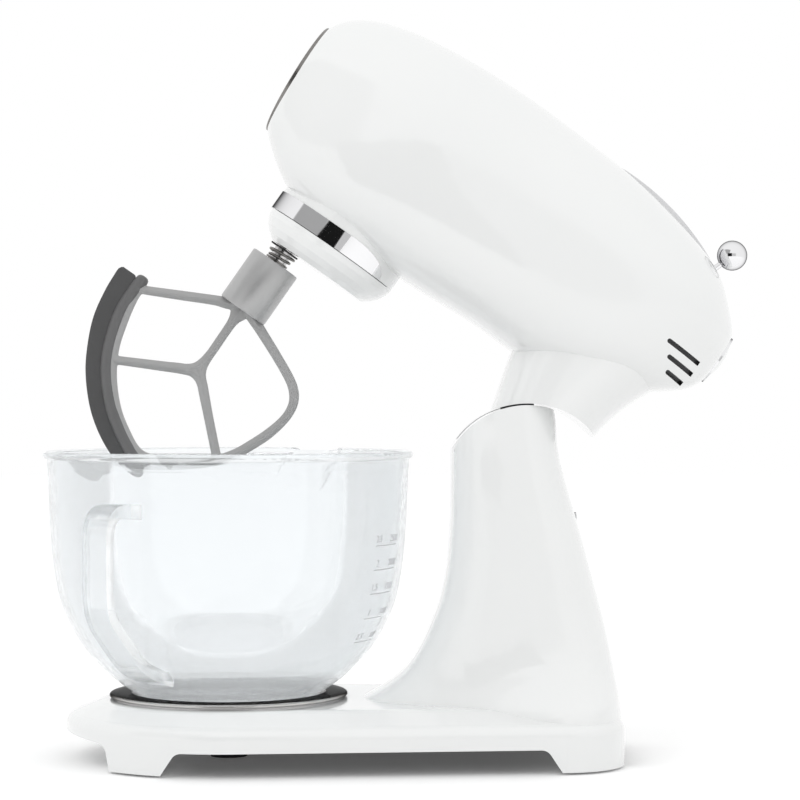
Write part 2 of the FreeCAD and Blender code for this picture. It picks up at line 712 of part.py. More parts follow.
def base_wire(z, inset=0.0):
    """Base's outline: a half round at the front, straight sides and rounded rear corners."""
    front = BASE_FRONT_RADIUS - inset
    corner = BASE_CORNER - inset
    corner_x = BASE_REAR_X - BASE_CORNER
    corner_y = BASE_REAR_HALF - BASE_CORNER
    run = Vector(corner_x, -corner_y, 0)
    swing = math.acos((front - corner) / run.Length)
    heading = math.atan2(run.y, run.x) - swing
    normal = Vector(math.cos(heading), math.sin(heading), 0)

    def at(point, side):
        return Vector(point.x, point.y * side, z)

    side_front = normal * front
    side_rear = run + normal * corner
    bend = Vector(math.cos(heading / 2), math.sin(heading / 2), 0)
    rear_end = run + Vector(corner, 0, 0)
    edges = [
        Part.Arc(at(side_front, -1), Vector(-front, 0, z), at(side_front, 1)).toShape(),
        Part.makeLine(at(side_front, 1), at(side_rear, 1)),
        Part.Arc(at(side_rear, 1), at(run + bend * corner, 1), at(rear_end, 1)).toShape(),
        Part.makeLine(at(rear_end, 1), at(rear_end, -1)),
        Part.Arc(at(rear_end, -1), at(run + bend * corner, -1), at(side_rear, -1)).toShape(),
        Part.makeLine(at(side_rear, -1), at(side_front, -1)),
    ]
    return Part.Wire(edges)


def base_prism(z0, z1, inset=0.0):
    return Part.Face(base_wire(z0, inset)).extrude(UP * (z1 - z0))


def leg_pads():
    """Solid blocks over the feet, up to the cover."""
    pads = []
    for x0, x1 in (FRONT_LEG, REAR_LEG):
        for side in (-1, 1):
            y0, y1 = sorted((side * LEG_INNER_Y, side * BASE_FRONT_RADIUS))
            pads.append(box(x0, x1, y0, y1, LEG_Z, COVER_Z))
    return base_prism(LEG_Z, COVER_Z).common(pads[0].multiFuse(pads[1:]))


def rounded_cutter(outline, run):
    """Prism under the base; the edges along its run are rounded where they are as high as the skirt."""
    prism = Part.Face(Part.makePolygon(outline + outline[:1])).extrude(run)
    along = Vector(run).normalize()
    high = [edge for edge in prism.Edges
            if abs(edge.tangentAt(edge.FirstParameter).dot(along)) > 0.99
            and edge.BoundBox.ZMin > SKIRT_Z - 0.1]
    return prism.makeFillet(LEG_ROUND, high)


def underside_cutters():
    """What is cut away under the base so that it stands on four legs."""
    low = LEG_Z - 1
    rise = SKIRT_Z - low
    reach = BASE_FRONT_RADIUS + 1
    front, rear = FRONT_LEG[1], REAR_LEG[0]
    side_arch = [Vector(front - LEG_LEAN * rise, -reach, low), Vector(front, -reach, SKIRT_Z),
                 Vector(rear, -reach, SKIRT_Z), Vector(rear + LEG_LEAN * rise, -reach, low)]
    half = LEG_INNER_Y
    cross_arch = [Vector(-reach, -half - LEG_END_LEAN * rise, low), Vector(-reach, -half, SKIRT_Z),
                  Vector(-reach, half, SKIRT_Z), Vector(-reach, half + LEG_END_LEAN * rise, low)]
    leg = FRONT_LEG[0]
    ahead = BASE_FRONT_RADIUS
    nose_z = SKIRT_NOSE_Z + SKIRT_NOSE_RISE * ahead
    nose = [Vector(leg - ahead, -reach, low), Vector(leg - ahead, -reach, nose_z),
            Vector(leg, -reach, SKIRT_NOSE_Z),
            Vector(leg + LEG_END_LEAN * (SKIRT_NOSE_Z - low), -reach, low)]
    return [rounded_cutter(side_arch, ACROSS * 2 * reach),
            rounded_cutter(cross_arch, Vector(reach + BASE_REAR_X + 1, 0, 0)),
            rounded_cutter(nose, ACROSS * 2 * reach)]


def base_hollow(z0, z1, clear=0.0):
    """Space inside the base's walls, behind the front legs' front faces."""
    front = FRONT_LEG[0] + 2 * BASE_WALL + clear
    room = base_prism(z0, z1, BASE_WALL + clear)
    return room.common(box(front, BASE_REAR_X, -BASE_FRONT_RADIUS, BASE_FRONT_RADIUS, z0, z1))


def level_edges(shape, z):
    return [edge for edge in shape.Edges
            if abs(edge.BoundBox.ZMin - z) < 0.01 and abs(edge.BoundBox.ZMax - z) < 0.01]


def base_body():
    """Solid base above its legs' soles: upright wall, rounded crease, sloping rim and flat top."""
    wall = base_prism(LEG_Z, BASE_CREASE_Z)
    slope = Part.makeLoft([base_wire(BASE_CREASE_Z), base_wire(BASE_TOP_Z, BASE_SLOPE)], True, True)
    body = wall.fuse(slope)
    body = body.makeFillet(BASE_CREASE_ROUND, level_edges(body, BASE_CREASE_Z))
    return body.makeFillet(BASE_TOP_ROUND, level_edges(body, BASE_TOP_Z))


def foot_points():
    points = []
    for x0, x1 in (FRONT_LEG, REAR_LEG):
        half = LEG_INNER_Y + FOOT_RADIUS + 4
        points.extend(Vector((x0 + x1) / 2, side * half, 0) for side in (-1, 1))
    return points


def seat_recess_floor():
    return BOWL_BOTTOM_Z - CUP_THICK - POCKET_DEPTH


def seat_inner():
    return CUP_RADIUS + CUP_THICK + SEAT_RADIAL_CLEAR


def lug_radius():
    return CUP_RADIUS + CUP_THICK + LUG_REACH


def base_casting():
    """Base and pedestal, cast in one piece and hollow from below."""
    column = pedestal_form().common(saddle_limit(SADDLE_RADIUS))
    outer = base_body().fuse(column)
    hollow = base_hollow(LEG_Z - 1, BASE_ROOF_Z)
    bore = pedestal_form(PEDESTAL_WALL).common(saddle_limit(SADDLE_RADIUS - PEDESTAL_WALL))
    column_floor = box(0, 300, -120, 120, BASE_ROOF_Z - 1, 400)
    casting = outer.cut(hollow).cut(bore.common(column_floor)).fuse(leg_pads())
    for cutter in underside_cutters():
        casting = casting.cut(cutter)
    shaft_space = bore.common(box(PEDESTAL_SECTIONS[0][1], 240, -60, 60, COVER_Z, 60))
    casting = casting.cut(shaft_space)
    casting = casting.fuse(hinge_ribs()).fuse(lock_web())
    casting = casting.cut(hinge_pin_bore()).cut(tongue_slot())
    casting = casting.cut(rod(Vector(0, 0, seat_recess_floor()), UP * BASE_TOP_Z * 2, SEAT_OUTER - 5))
    casting = casting.cut(rod(UP * (BASE_TOP_Z + SEAT_PROUD - SEAT_THICK), UP * BASE_TOP_Z * 2, SEAT_OUTER))
    casting = casting.cut(lock_guide(LOCK_RADIUS + LOCK_CLEAR))
    for point in foot_points():
        casting = casting.cut(rod(point, point + UP * (LEG_Z + FOOT_RECESS), FOOT_RADIUS))
        casting = casting.cut(rod(point, point + UP * (foot_screw_top() + 1), BOLT_RADIUS))
    for point in seat_screw_points():
        casting = casting.cut(rod(point - UP * 12, point, BOLT_RADIUS))
    casting = casting.cut(grommet_bore(GROMMET_RADIUS))
    return largest(casting)


def hinge_ribs():
    ribs = []
    for side in (-1, 1):
        y0, y1 = sorted((side * RIB_GAP, side * (RIB_GAP + RIB_THICK)))
        ribs.append(box(100, 250, y0, y1, PIVOT_Z - 60, PIVOT_Z + BARREL_RADIUS + 8))
    return ribs[0].fuse(ribs[1]).common(pedestal_form(PEDESTAL_WALL / 2).common(saddle_limit(SADDLE_RADIUS)))


def hinge_pin_bore():
    reach = RIB_GAP + RIB_THICK + 1
    return rod(PIVOT - ACROSS * reach, PIVOT + ACROSS * reach, PIN_RADIUS + 0.01)


def tongue_slot():
    """Slot in the pedestal's round top, as long as the tongue's swing."""
    start = TONGUE_ANGLE - TONGUE_HALF_ANGLE - SLOT_MARGIN
    end = TONGUE_ANGLE + TONGUE_HALF_ANGLE + HEAD_OPEN + SLOT_MARGIN
    half = TONGUE_HALF + 1.2
    return sector(PIVOT, BARREL_RADIUS + 10, SADDLE_RADIUS + 5, start, end, -half, half)


def base_cover():
    cover = base_hollow(COVER_Z, COVER_Z + COVER_THICK, COVER_CLEAR)
    for point in foot_points():
        cover = cover.cut(rod(point, point + UP * 20, BOLT_RADIUS + 0.3))
    return cover


def rubber_feet():
    feet = []
    for point in foot_points():
        foot = rod(point, point + UP * (LEG_Z + FOOT_RECESS), FOOT_RADIUS)
        feet.append(foot.cut(rod(point, point + UP * 9, 3.6)))
    feet.append(rod(Vector(0, 0, 0), UP * COVER_Z, CENTRE_FOOT_RADIUS))
    return group(feet)


def foot_screw_top():
    return COVER_Z + COVER_THICK + 3


def foot_screws():
    """Screws through the feet's middles that clamp the cover to the leg pads."""
    head = LEG_Z + FOOT_RECESS - 2.2
    return group([screw(point + UP * head, UP, foot_screw_top() - head, BOLT_RADIUS - 0.1, 3.4, 2.0)
                  for point in foot_points()])


def grommet_point():
    return Vector(BASE_REAR_X, 34.0, GROMMET_Z)


def grommet_bore(radius):
    return rod(grommet_point() - Vector(20, 0, 0), grommet_point() + Vector(20, 0, 0), radius)


def cord_grommet():
    """Rubber grommet where the cord leaves the rear, flush with the wall."""
    start = grommet_point() - Vector(BASE_WALL + 3, 0, 0)
    end = grommet_point() + Vector(0.6, 0, 0)
    return tube(start, end, GROMMET_RADIUS, 3.5)


def lock_axis(x):
    return Vector(x, 0, LOCK_Z)


def lock_outer_x():
    """Rear wall at the lock's height."""
    line = Part.makeLine(lock_axis(PIVOT_X), lock_axis(300))
    return line.common(pedestal_form()).BoundBox.XMax


def lock_guide(radius):
    return rod(lock_axis(lock_outer_x() - 12), lock_axis(lock_outer_x() + 5), radius)


def lock_button():
    """Push button with its rod and catch nose, guided in the pedestal's rear wall."""
    outer = lock_outer_x()
    cap = rod(lock_axis(outer - 8), lock_axis(outer - 0.6), LOCK_RADIUS)
    stem = rod(lock_axis(PIVOT_X + LOCK_WEB_X - 5), lock_axis(outer - 7), LOCK_ROD)
    return cap.fuse(stem)


def lock_spring():
    outer = lock_outer_x()
    start = PIVOT_X + LOCK_WEB_X + LOCK_WEB + 0.3
    return coil(lock_axis(start), Vector(1, 0, 0), LOCK_ROD + 1.6, 0.5, outer - 8.3 - start, 5)


def lock_web():
    """Web between the ribs that the lock's rod slides in and its spring pushes on."""
    x = PIVOT_X + LOCK_WEB_X
    half = RIB_GAP + 1
    wall = box(x, x + LOCK_WEB, -half, half, LOCK_Z - 8, LOCK_Z + 8)
    return wall.cut(rod(lock_axis(x - 1), lock_axis(x + 3), LOCK_ROD + 0.1))


# ---------------------------------------------------------------- bowl
def bowl_profile(inset=0.0):
    """Points (radius, height) up the bowl's wall, drawn in along the wall's normal."""
    rise = BOWL_HEIGHT - BOWL_BOTTOM_Z
    points = [(BOWL_RIM_RADIUS * r, BOWL_BOTTOM_Z + rise * h) for r, h in BOWL_WALL]
    result = []
    for index, (radius, height) in enumerate(points):
        before = points[max(index - 1, 0)]
        after = points[min(index + 1, len(points) - 1)]
        along = Vector(after[0] - before[0], 0, after[1] - before[1]).normalize()
        result.append(Vector(radius - along.z * inset, 0, height + along.x * inset))
    return result


def bowl_body(inset=0.0, top=0.0):
    """Solid inside the bowl's wall, up to its top or to a flat lid above it."""
    wall = bowl_profile(inset)
    low, high = wall[0], wall[-1]
    low = Vector(low.x, 0, BOWL_BOTTOM_Z + (GLASS_FLOOR if inset else 0.0))
    wall[0] = low
    lid = high + UP * top
    edges = [Part.makeLine(Vector(0, 0, low.z), low), smooth(wall)]
    if top > 0:
        edges.append(Part.makeLine(high, lid))
    edges.append(Part.makeLine(lid, Vector(0, 0, lid.z)))
    edges.append(Part.makeLine(Vector(0, 0, lid.z), Vector(0, 0, low.z)))
    solid = Part.Face(Part.Wire(edges)).revolve(Vector(0, 0, 0), UP, 360)
    if solid.Volume < 0:
        solid.reverse()
    return solid


def bowl_spout(inset=0.0, above=0.0):
    """Leaning cone of the pouring lip, opposite the handle."""
    tip = BOWL_RIM_RADIUS + SPOUT_REACH
    lean = (SPOUT_REACH + SPOUT_ROOT) / SPOUT_HEIGHT
    widening = (SPOUT_RADIUS - SPOUT_LOW_RADIUS) / SPOUT_HEIGHT
    circles = []
    for rise in (-SPOUT_HEIGHT, above):
        radius = SPOUT_RADIUS + widening * rise
        height = BOWL_HEIGHT + SPOUT_RISE + rise
        centre = radial_point(HANDLE_AZIMUTH + 180, tip + lean * rise - radius, height)
        circles.append(Part.Wire(Part.makeCircle(radius - inset, centre, UP)))
    return Part.makeLoft(circles, True, True)


def bowl_glass():
    """Glass bowl with a beaded rim, a thick floor and a pouring lip."""
    bead = Part.makeTorus(BOWL_RIM_RADIUS, BEAD_RADIUS, UP * BOWL_HEIGHT)
    collar = rod(UP * (BOWL_HEIGHT - COLLAR_DROP), UP * (BOWL_HEIGHT + COLLAR_RISE), BOWL_RIM_RADIUS)
    bowl = bowl_body().multiFuse([bead, collar]).fuse(bowl_spout())
    bowl = bowl.cut(bowl_body(GLASS, BEAD_RADIUS + 10))
    return largest(bowl.cut(bowl_spout(GLASS, BEAD_RADIUS * 2)))


def radial_point(azimuth, radius, z, side=0.0):
    turn = math.radians(azimuth)
    outward = Vector(math.cos(turn), math.sin(turn), 0)
    sideways = Vector(-math.sin(turn), math.cos(turn), 0)
    return outward * radius + sideways * side + UP * z


def beside(points, distance):
    """Points moved sideways off a line of points in the X-Z plane."""
    result = []
    for index, point in enumerate(points):
        along = points[min(index + 1, len(points) - 1)] - points[max(index - 1, 0)]
        along.normalize()
        result.append(point + Vector(-along.z, 0, along.x) * distance)
    return result


def bowl_handle():
    """Glass strap handle: level at the top, upright at the grip, curving in to the bowl below."""
    middle = [Vector(BOWL_RIM_RADIUS + out, 0, BOWL_HEIGHT + rise) for out, rise in HANDLE_PATH]
    outer = beside(middle, HANDLE_THICK / 2)
    inner = beside(middle, -HANDLE_THICK / 2)
    edges = [smooth(outer), Part.makeLine(outer[-1], inner[-1]), smooth(inner[::-1]),
             Part.makeLine(inner[0], outer[0])]
    face = Part.Face(Part.Wire(edges))
    face.translate(ACROSS * (-HANDLE_WIDTH / 2))
    strap = face.extrude(ACROSS * HANDLE_WIDTH)
    strap.rotate(Vector(0, 0, 0), UP, HANDLE_AZIMUTH)
    return largest(strap.cut(bowl_body(0.0, 40)))


def bowl_ring():
    """Steel ring that holds the glass: flange, cup and bayonet lugs."""
    low = BOWL_BOTTOM_Z - CUP_THICK - CUP_CLEAR
    inner = CUP_RADIUS
    outer = CUP_RADIUS + CUP_THICK
    cup = turned([(0, low), (outer, low), (outer, FLANGE_Z), (FLANGE_RADIUS, FLANGE_Z),
                  (FLANGE_RADIUS, FLANGE_Z + FLANGE_THICK), (inner, FLANGE_Z + FLANGE_THICK),
                  (inner, low + CUP_THICK), (0, low + CUP_THICK)])
    top = seat_ring_low() - LUG_CLEAR
    lugs = []
    for index in range(LUG_COUNT):
        wedge = lug_wedge(index, LUG_SPAN, 0.0, top - LUG_THICK, top, lug_radius())
        lugs.append(wedge.cut(rod(Vector(0, 0, 0), UP * 60, outer - 0.2)))
    return cup.multiFuse(lugs).cut(bowl_body())


def lug_wedge(index, span, offset, z0, z1, radius):
    """Sector of a disc for one bayonet lug or its notch."""
    start = 360.0 / LUG_COUNT * index + offset
    wedge = Part.makeCylinder(radius, z1 - z0, UP * z0, UP, span)
    wedge.rotate(Vector(0, 0, 0), UP, start - span / 2)
    return wedge


def seat_ring_low():
    return BASE_TOP_Z + SEAT_PROUD - SEAT_THICK


def bowl_seat():
    """Steel ring on the base with notches that let the bowl's lugs pass."""
    z0 = seat_ring_low()
    z1 = z0 + SEAT_THICK
    ring = tube(UP * z0, UP * z1, SEAT_OUTER, seat_inner())
    for index in range(LUG_COUNT):
        ring = ring.cut(lug_wedge(index, LUG_SPAN + 4, BOWL_TURN, z0 - 1, z1 + 1, lug_radius() + 0.6))
    for point in seat_screw_points():
        ring = ring.cut(Part.makeCone(BOLT_RADIUS * 2, BOLT_RADIUS, SEAT_THICK, point + UP * SEAT_THICK, -UP))
    return ring


def seat_screw_points():
    radius = SEAT_OUTER - 2.2
    z = seat_ring_low()
    return [radial_point(360.0 / LUG_COUNT * index - 20, radius - 1.8, z) for index in range(LUG_COUNT)]


def seat_screws():
    screws = []
    for point in seat_screw_points():
        head = Part.makeCone(BOLT_RADIUS * 2, BOLT_RADIUS, SEAT_THICK, point + UP * SEAT_THICK, -UP)
        slot = box(point.x - 2.6, point.x + 2.6, point.y - 0.4, point.y + 0.4,
                   point.z + SEAT_THICK - 0.7, point.z + SEAT_THICK + 1)
        screws.append(head.fuse(rod(point, point - UP * 9, BOLT_RADIUS)).cut(slot))
    return group(screws)


# ---------------------------------------------------------------- gears
def involute(angle):
    return math.tan(angle) - angle


def tooth_half_angle(teeth, module, radius, slack):
    """Half the angle that a 20 degree involute tooth takes up at a radius."""
    pressure = math.radians(20)
    pitch = module * teeth / 2
    base = pitch * math.cos(pressure)
    here = math.acos(min(1.0, base / max(radius, base)))
    return math.pi / (2 * teeth) + involute(pressure) - involute(here) - slack / pitch


def gear_disc(teeth, module, root, tip, slack, z0, z1, phase):
    """Straight spur gear form about the Z axis: root and tip are its radii."""
    pitch = module * teeth / 2
    points = []
    for tooth in range(teeth):
        middle = phase + 2 * math.pi * tooth / teeth
        for radius, side in ((root, -1), (pitch, -1), (tip, -1), (tip, 1), (pitch, 1), (root, 1)):
            angle = middle + side * tooth_half_angle(teeth, module, radius, slack)
            points.append(Vector(radius * math.cos(angle), radius * math.sin(angle), z0))
    return Part.Face(Part.makePolygon(points + points[:1])).extrude(UP * (z1 - z0))


def planet_module():
    return 2 * ORBIT / (RING_TEETH - PLANET_TEETH)


def planet_gear():
    """Pinion on the beater shaft: one tooth points forward into the ring gear."""
    module = planet_module()
    pitch = module * PLANET_TEETH / 2
    z0 = HEAD_Z + GEAR_V
    gear = gear_disc(PLANET_TEETH, module, pitch - 1.1 * module, pitch + 0.85 * module, BACKLASH,
                     z0, z0 + GEAR_FACE, math.pi)
    gear.translate(Vector(-ORBIT, 0, 0))
    bore = rod(Vector(-ORBIT, 0, z0 - 1), Vector(-ORBIT, 0, z0 + GEAR_FACE + 1), SHAFT_RADIUS)
    return gear.cut(bore)


def ring_gear():
    """Fixed internal gear inside the boss: a space faces the planet's tooth."""
    module = planet_module()
    pitch = module * RING_TEETH / 2
    z0 = HEAD_Z + GEAR_V
    rim = rod(UP * z0, UP * (z0 + GEAR_FACE), BOSS_RADIUS - BOSS_WALL)
    return rim.cut(gear_disc(RING_TEETH, module, pitch - 0.8 * module, pitch + 1.15 * module, -BACKLASH,
                             z0 - 1, z0 + GEAR_FACE + 1, math.pi))


def bevel_gear(teeth, mate_teeth, bore, back, phase, apex, axis):
    """Straight bevel gear whose pitch cone has its tip at apex and opens along axis."""
    pitch = BEVEL_MODULE * teeth / 2
    depth = BEVEL_MODULE * mate_teeth / 2
    cone = math.hypot(pitch, depth)
    outward = Vector(depth / cone, 0, -pitch / cone)
    shrink = (cone - BEVEL_FACE) / cone
    big = Vector(pitch, 0, depth)
    root = big - outward * (1.25 * BEVEL_MODULE)
    inner_root = root * shrink
    rear_z = root.z + back
    blank = turned([(bore, rear_z), (root.x, rear_z), (root.x, root.z), (inner_root.x, inner_root.z),
                    (bore, inner_root.z)])
    half = math.pi * BEVEL_MODULE / 4 - BEVEL_BACKLASH / 2
    flank = math.tan(math.radians(20))
    low = big - outward * (1.3 * BEVEL_MODULE)
    high = big + outward * (0.7 * BEVEL_MODULE)
    low_half = half + 1.3 * BEVEL_MODULE * flank
    high_half = half - 0.7 * BEVEL_MODULE * flank
    corners = [low - ACROSS * low_half, low + ACROSS * low_half,
               high + ACROSS * high_half, high - ACROSS * high_half]
    ends = [Part.makePolygon([corner * scale for corner in corners + corners[:1]]) for scale in (1.0, shrink)]
    tooth = Part.makeLoft(ends, True, True)
    teeth_shapes = []
    for index in range(teeth):
        copy = tooth.copy()
        copy.rotate(Vector(0, 0, 0), UP, math.degrees(phase) + 360.0 * index / teeth)
        teeth_shapes.append(copy)
    return placed(blank.multiFuse(teeth_shapes), apex, axis)


def apex():
    return head_point(PLANET_U, NOSE_V)


def crown_gear():
    """Large bevel gear on the main shaft, teeth up, with spaces facing both pinions."""
    return bevel_gear(CROWN_TEETH, PINION_TEETH, MAIN_RADIUS, 3.0, math.pi / CROWN_TEETH, apex(), -UP)


def pinion(phase, axis):
    """Small bevel gear of the motor or of the accessory drive."""
    return bevel_gear(PINION_TEETH, CROWN_TEETH, ROTOR_SHAFT - 1, 3.0, phase, apex(), axis)


# ---------------------------------------------------------------- gear case, shafts and bearings
def axis_point(u):
    """Point on the motor's axis."""
    return head_point(u, NOSE_V)


def bearing(start, end, outer, inner):
    """Plain-drawn ball bearing: two races and a row of balls in one solid ring."""
    ring = tube(start, end, outer, inner)
    along = end - start
    groove = (outer - inner) * 0.18
    middle = (outer + inner) / 2
    gap = tube(end - along * 0.12, end + along, middle + groove, middle - groove)
    return ring.cut(gap)


def main_shaft():
    """Vertical shaft from the crown gear to the planetary dish."""
    return rod(head_point(PLANET_U, DISH_V + 4), head_point(PLANET_U, 127.5), MAIN_RADIUS)


def main_bearings():
    pairs = [(72.0, 80.0), (106.0, 114.0)]
    rings = [bearing(head_point(PLANET_U, low), head_point(PLANET_U, high),
                     MAIN_RADIUS + BEARING_WALL, MAIN_RADIUS + PIN_CLEAR) for low, high in pairs]
    return group(rings)


def gear_case():
    """Casting in the boss that carries the main shaft's bearings above the ring gear."""
    floor = GEAR_V + GEAR_FACE + 0.6
    outer = MAIN_RADIUS + BEARING_WALL
    case = turned([(MAIN_RADIUS + 1.2, floor), (BOSS_RADIUS - BOSS_WALL, floor),
                   (BOSS_RADIUS - BOSS_WALL, floor + 5), (outer + 8, floor + 5), (outer + 4, floor + 12),
                   (outer + 4, 114.0), (outer, 114.0), (outer, 106.0), (MAIN_RADIUS + 1.2, 106.0),
                   (MAIN_RADIUS + 1.2, 80.0), (outer, 80.0), (outer, 72.0), (MAIN_RADIUS + 1.2, 72.0)],
                  head_point(PLANET_U, 0))
    return case


def case_screw_points():
    return [radial_point(azimuth, BOSS_RADIUS - BOSS_WALL - 3.5, 0) for azimuth in (45, 135, 225, 315)]


def case_screws():
    top = HEAD_Z + GEAR_V + GEAR_FACE + 0.6 + 5 + 2.4
    length = 2.4 + 5 + 0.6 + GEAR_FACE - 1
    points = case_screw_points()
    return group([screw(point + UP * top, -UP, length, BOLT_RADIUS, 2.9, 2.4) for point in points])


def with_case_holes(shape):
    """The shape with clearance holes for the gear case's screws."""
    for point in case_screw_points():
        shape = shape.cut(rod(point + UP * HEAD_Z, point + UP * (HEAD_Z + 120), BOLT_RADIUS))
    return shape


def accessory_shaft():
    """Shaft with a pinion at its rear end and a square socket inside the accessory hub."""
    shaft = rod(axis_point(PLANET_U + 24), hub_back_point(5), ROTOR_SHAFT)
    head = rod(hub_back_point(3.6), hub_back_point(HUB_DRIVE_ROOM - 0.6), DRIVE_RADIUS)
    square = Part.makeBox(DRIVE_SQUARE, DRIVE_SQUARE, 20, Vector(-DRIVE_SQUARE / 2, -DRIVE_SQUARE / 2, 0))
    drive = shaft.fuse(head).cut(placed(square, hub_back_point(5), FORWARD))
    return drive.fuse(pinion(math.pi, FORWARD))


def hub_back_point(forward):
    """Point on the motor's axis ahead of the hub's back wall."""
    return axis_point(NOSE_U - RING_DEPTH - HUB_DEPTH + forward)


def accessory_bearing():
    end = axis_point(NOSE_U - RING_DEPTH - HUB_DEPTH - 1.2)
    return bearing(end - FORWARD * 5, end, ROTOR_SHAFT + 5, ROTOR_SHAFT + PIN_CLEAR)


# ---------------------------------------------------------------- planetary dish and beater shaft
def planetary_dish():
    """White dish that carries the beater shaft round under the boss."""
    top = BOSS_V - DISH_CLEAR
    outline = [(0, DISH_V), (35.0, DISH_V), (39.5, DISH_V + 3.2), (43.4, DISH_V + 7.2), (46.2, DISH_V + 12.5),
               (BOSS_RADIUS, top), (43.0, top), (40.0, DISH_V + 7), (0, DISH_V + 7)]
    dish = turned(outline, head_point(PLANET_U, 0))
    hub = rod(head_point(PLANET_U, DISH_V + 1), head_point(PLANET_U, GEAR_V - 1), MAIN_RADIUS + 4)
    sleeve = rod(beater_point(0, DISH_V + 1), beater_point(0, GEAR_V - 1), SHAFT_RADIUS + 5)
    dish = dish.fuse(hub).fuse(sleeve)
    dish = dish.cut(rod(head_point(PLANET_U, DISH_V + 4), head_point(PLANET_U, 80), MAIN_RADIUS))
    return dish.cut(rod(beater_point(0, DISH_V - 3), beater_point(0, 80), SHAFT_RADIUS + BUSH_WALL))


def shaft_bushes():
    spans = [(DISH_V, DISH_V + 6), (GEAR_V - 7, GEAR_V - 1)]
    return group([tube(beater_point(0, low), beater_point(0, high), SHAFT_RADIUS + BUSH_WALL,
                       SHAFT_RADIUS + PIN_CLEAR) for low, high in spans])


def beater_shaft():
    shaft = rod(beater_point(0, SHAFT_END_B), beater_point(0, GEAR_V + GEAR_FACE), SHAFT_RADIUS)
    return shaft.cut(drive_pin())


def drive_pin():
    reach = SHAFT_RADIUS + 3.6
    return rod(beater_point(0, DRIVE_PIN_B, -reach), beater_point(0, DRIVE_PIN_B, reach), DRIVE_PIN_RADIUS)


def shaft_washer():
    top = DISH_V - 0.4
    return tube(beater_point(0, top - 1.2), beater_point(0, top), WASHER_RADIUS, SHAFT_RADIUS)


def shaft_spring():
    low = HUB_TOP_B + SPRING_CLEAR
    length = DISH_V - 1.6 - low - 0.2
    radius = SHAFT_RADIUS + SPRING_WIRE + 0.4
    return coil(beater_point(0, low), UP, radius, SPRING_WIRE, length, SPRING_TURNS)


def beater_hub():
    """Socket that slides up the beater shaft and turns onto its drive pin."""
    shaft_bore = SHAFT_RADIUS + PIN_CLEAR
    room = SHAFT_RADIUS + 4.4
    floor = SHAFT_END_B - 1.0
    hub = turned([(0, HUB_LOW_B), (5.0, HUB_LOW_B), (11.0, -14.8), (15.5, -9.5), (HUB_RADIUS, -4.0),
                  (HUB_RADIUS, HUB_TOP_B - 1.5), (HUB_RADIUS - 1.5, HUB_TOP_B), (shaft_bore, HUB_TOP_B),
                  (shaft_bore, DRIVE_PIN_B + 3.2), (room, DRIVE_PIN_B + 3.2),
                  (room, DRIVE_PIN_B - PRESS - 3.2), (shaft_bore, DRIVE_PIN_B - PRESS - 3.2),
                  (shaft_bore, floor - PRESS), (0, floor - PRESS)],
                 beater_point(0, 0))
    slot = DRIVE_PIN_RADIUS + 0.4
    low = beater_point(-room, DRIVE_PIN_B)
    high = beater_point(room, HUB_TOP_B + 1)
    return hub.cut(box(high.x, low.x, -slot, slot, low.z, high.z))


# beater in its own plane, closed: points (a, b), a forward of the shaft, b above the datum
FRAME_OUTLINE = [
    (15.0, -9.7), (59.6, -33.6), (60.0, -30.6), (68.5, -31.3), (68.2, -44.0), (66.1, -57.4),
    (60.5, -76.0), (53.1, -90.8), (43.5, -103.5), (33.1, -113.3), (21.5, -122.8), (8.9, -130.5),
    (1.0, -131.8), (-9.3, -128.6), (-20.0, -123.6), (-29.4, -118.0), (-39.6, -109.4), (-48.0, -99.6),
    (-53.0, -92.6), (-56.8, -84.5), (-62.3, -66.8), (-65.5, -50.3), (-66.0, -42.5), (-64.5, -35.8),
    (-61.5, -31.2), (-56.5, -27.7), (-15.0, -8.6),
]
WINDOWS = [
    [(11.0, -16.3), (57.5, -40.3), (58.3, -43.5), (55.5, -60.6), (51.6, -72.4), (48.4, -79.2),
     (45.6, -79.8), (6.4, -59.6), (2.6, -55.6), (4.3, -24.0), (6.6, -18.4)],
    [(-9.4, -16.0), (-5.4, -20.6), (-4.6, -40.0), (-6.0, -58.0), (-40.4, -92.4), (-44.2, -92.3),
     (-49.4, -83.0), (-54.8, -67.4), (-58.6, -50.0), (-59.6, -41.2), (-58.2, -36.6), (-54.6, -33.6),
     (-14.2, -15.4)],
    [(-8.4, -67.5), (-2.0, -66.2), (10.7, -67.2), (43.0, -84.0), (45.0, -87.0), (36.5, -98.0),
     (25.0, -107.8), (12.5, -116.2), (-1.0, -122.4), (-8.0, -121.6), (-18.0, -116.8), (-28.0, -109.2),
     (-36.4, -100.0), (-36.4, -95.6)],
]
WIPER_OUTLINE = [
    (69.0, -31.9), (79.3, -32.1), (78.8, -48.0), (75.6, -65.6), (69.6, -82.2), (61.4, -96.7),
    (51.8, -108.6), (40.8, -118.6), (29.0, -128.0), (16.6, -135.4), (5.0, -138.2), (-7.2, -138.8),
    (-7.6, -130.4), (1.0, -132.4), (9.2, -131.0), (21.9, -123.4), (33.6, -113.8), (44.0, -104.0),
    (53.7, -91.2), (61.1, -76.2), (66.7, -57.5), (68.8, -44.0),
]


def beater_frame():
    """Flat beater: a plate with three windows, its hub on top."""
    frame = plate([beater_point(a, b) for a, b in FRAME_OUTLINE], FRAME_THICK)
    for window in WINDOWS:
        frame = frame.cut(plate([beater_point(a, b) for a, b in window], FRAME_THICK * 2))
    inside = rod(beater_point(0, HUB_LOW_B + 2), beater_point(0, HUB_TOP_B), HUB_RADIUS - 3)
    return largest(frame.cut(inside).fuse(beater_hub()))


def beater_wiper():
    """Soft wiper along one edge of the beater."""
    return plate([beater_point(a, b) for a, b in WIPER_OUTLINE], WIPER_THICK)


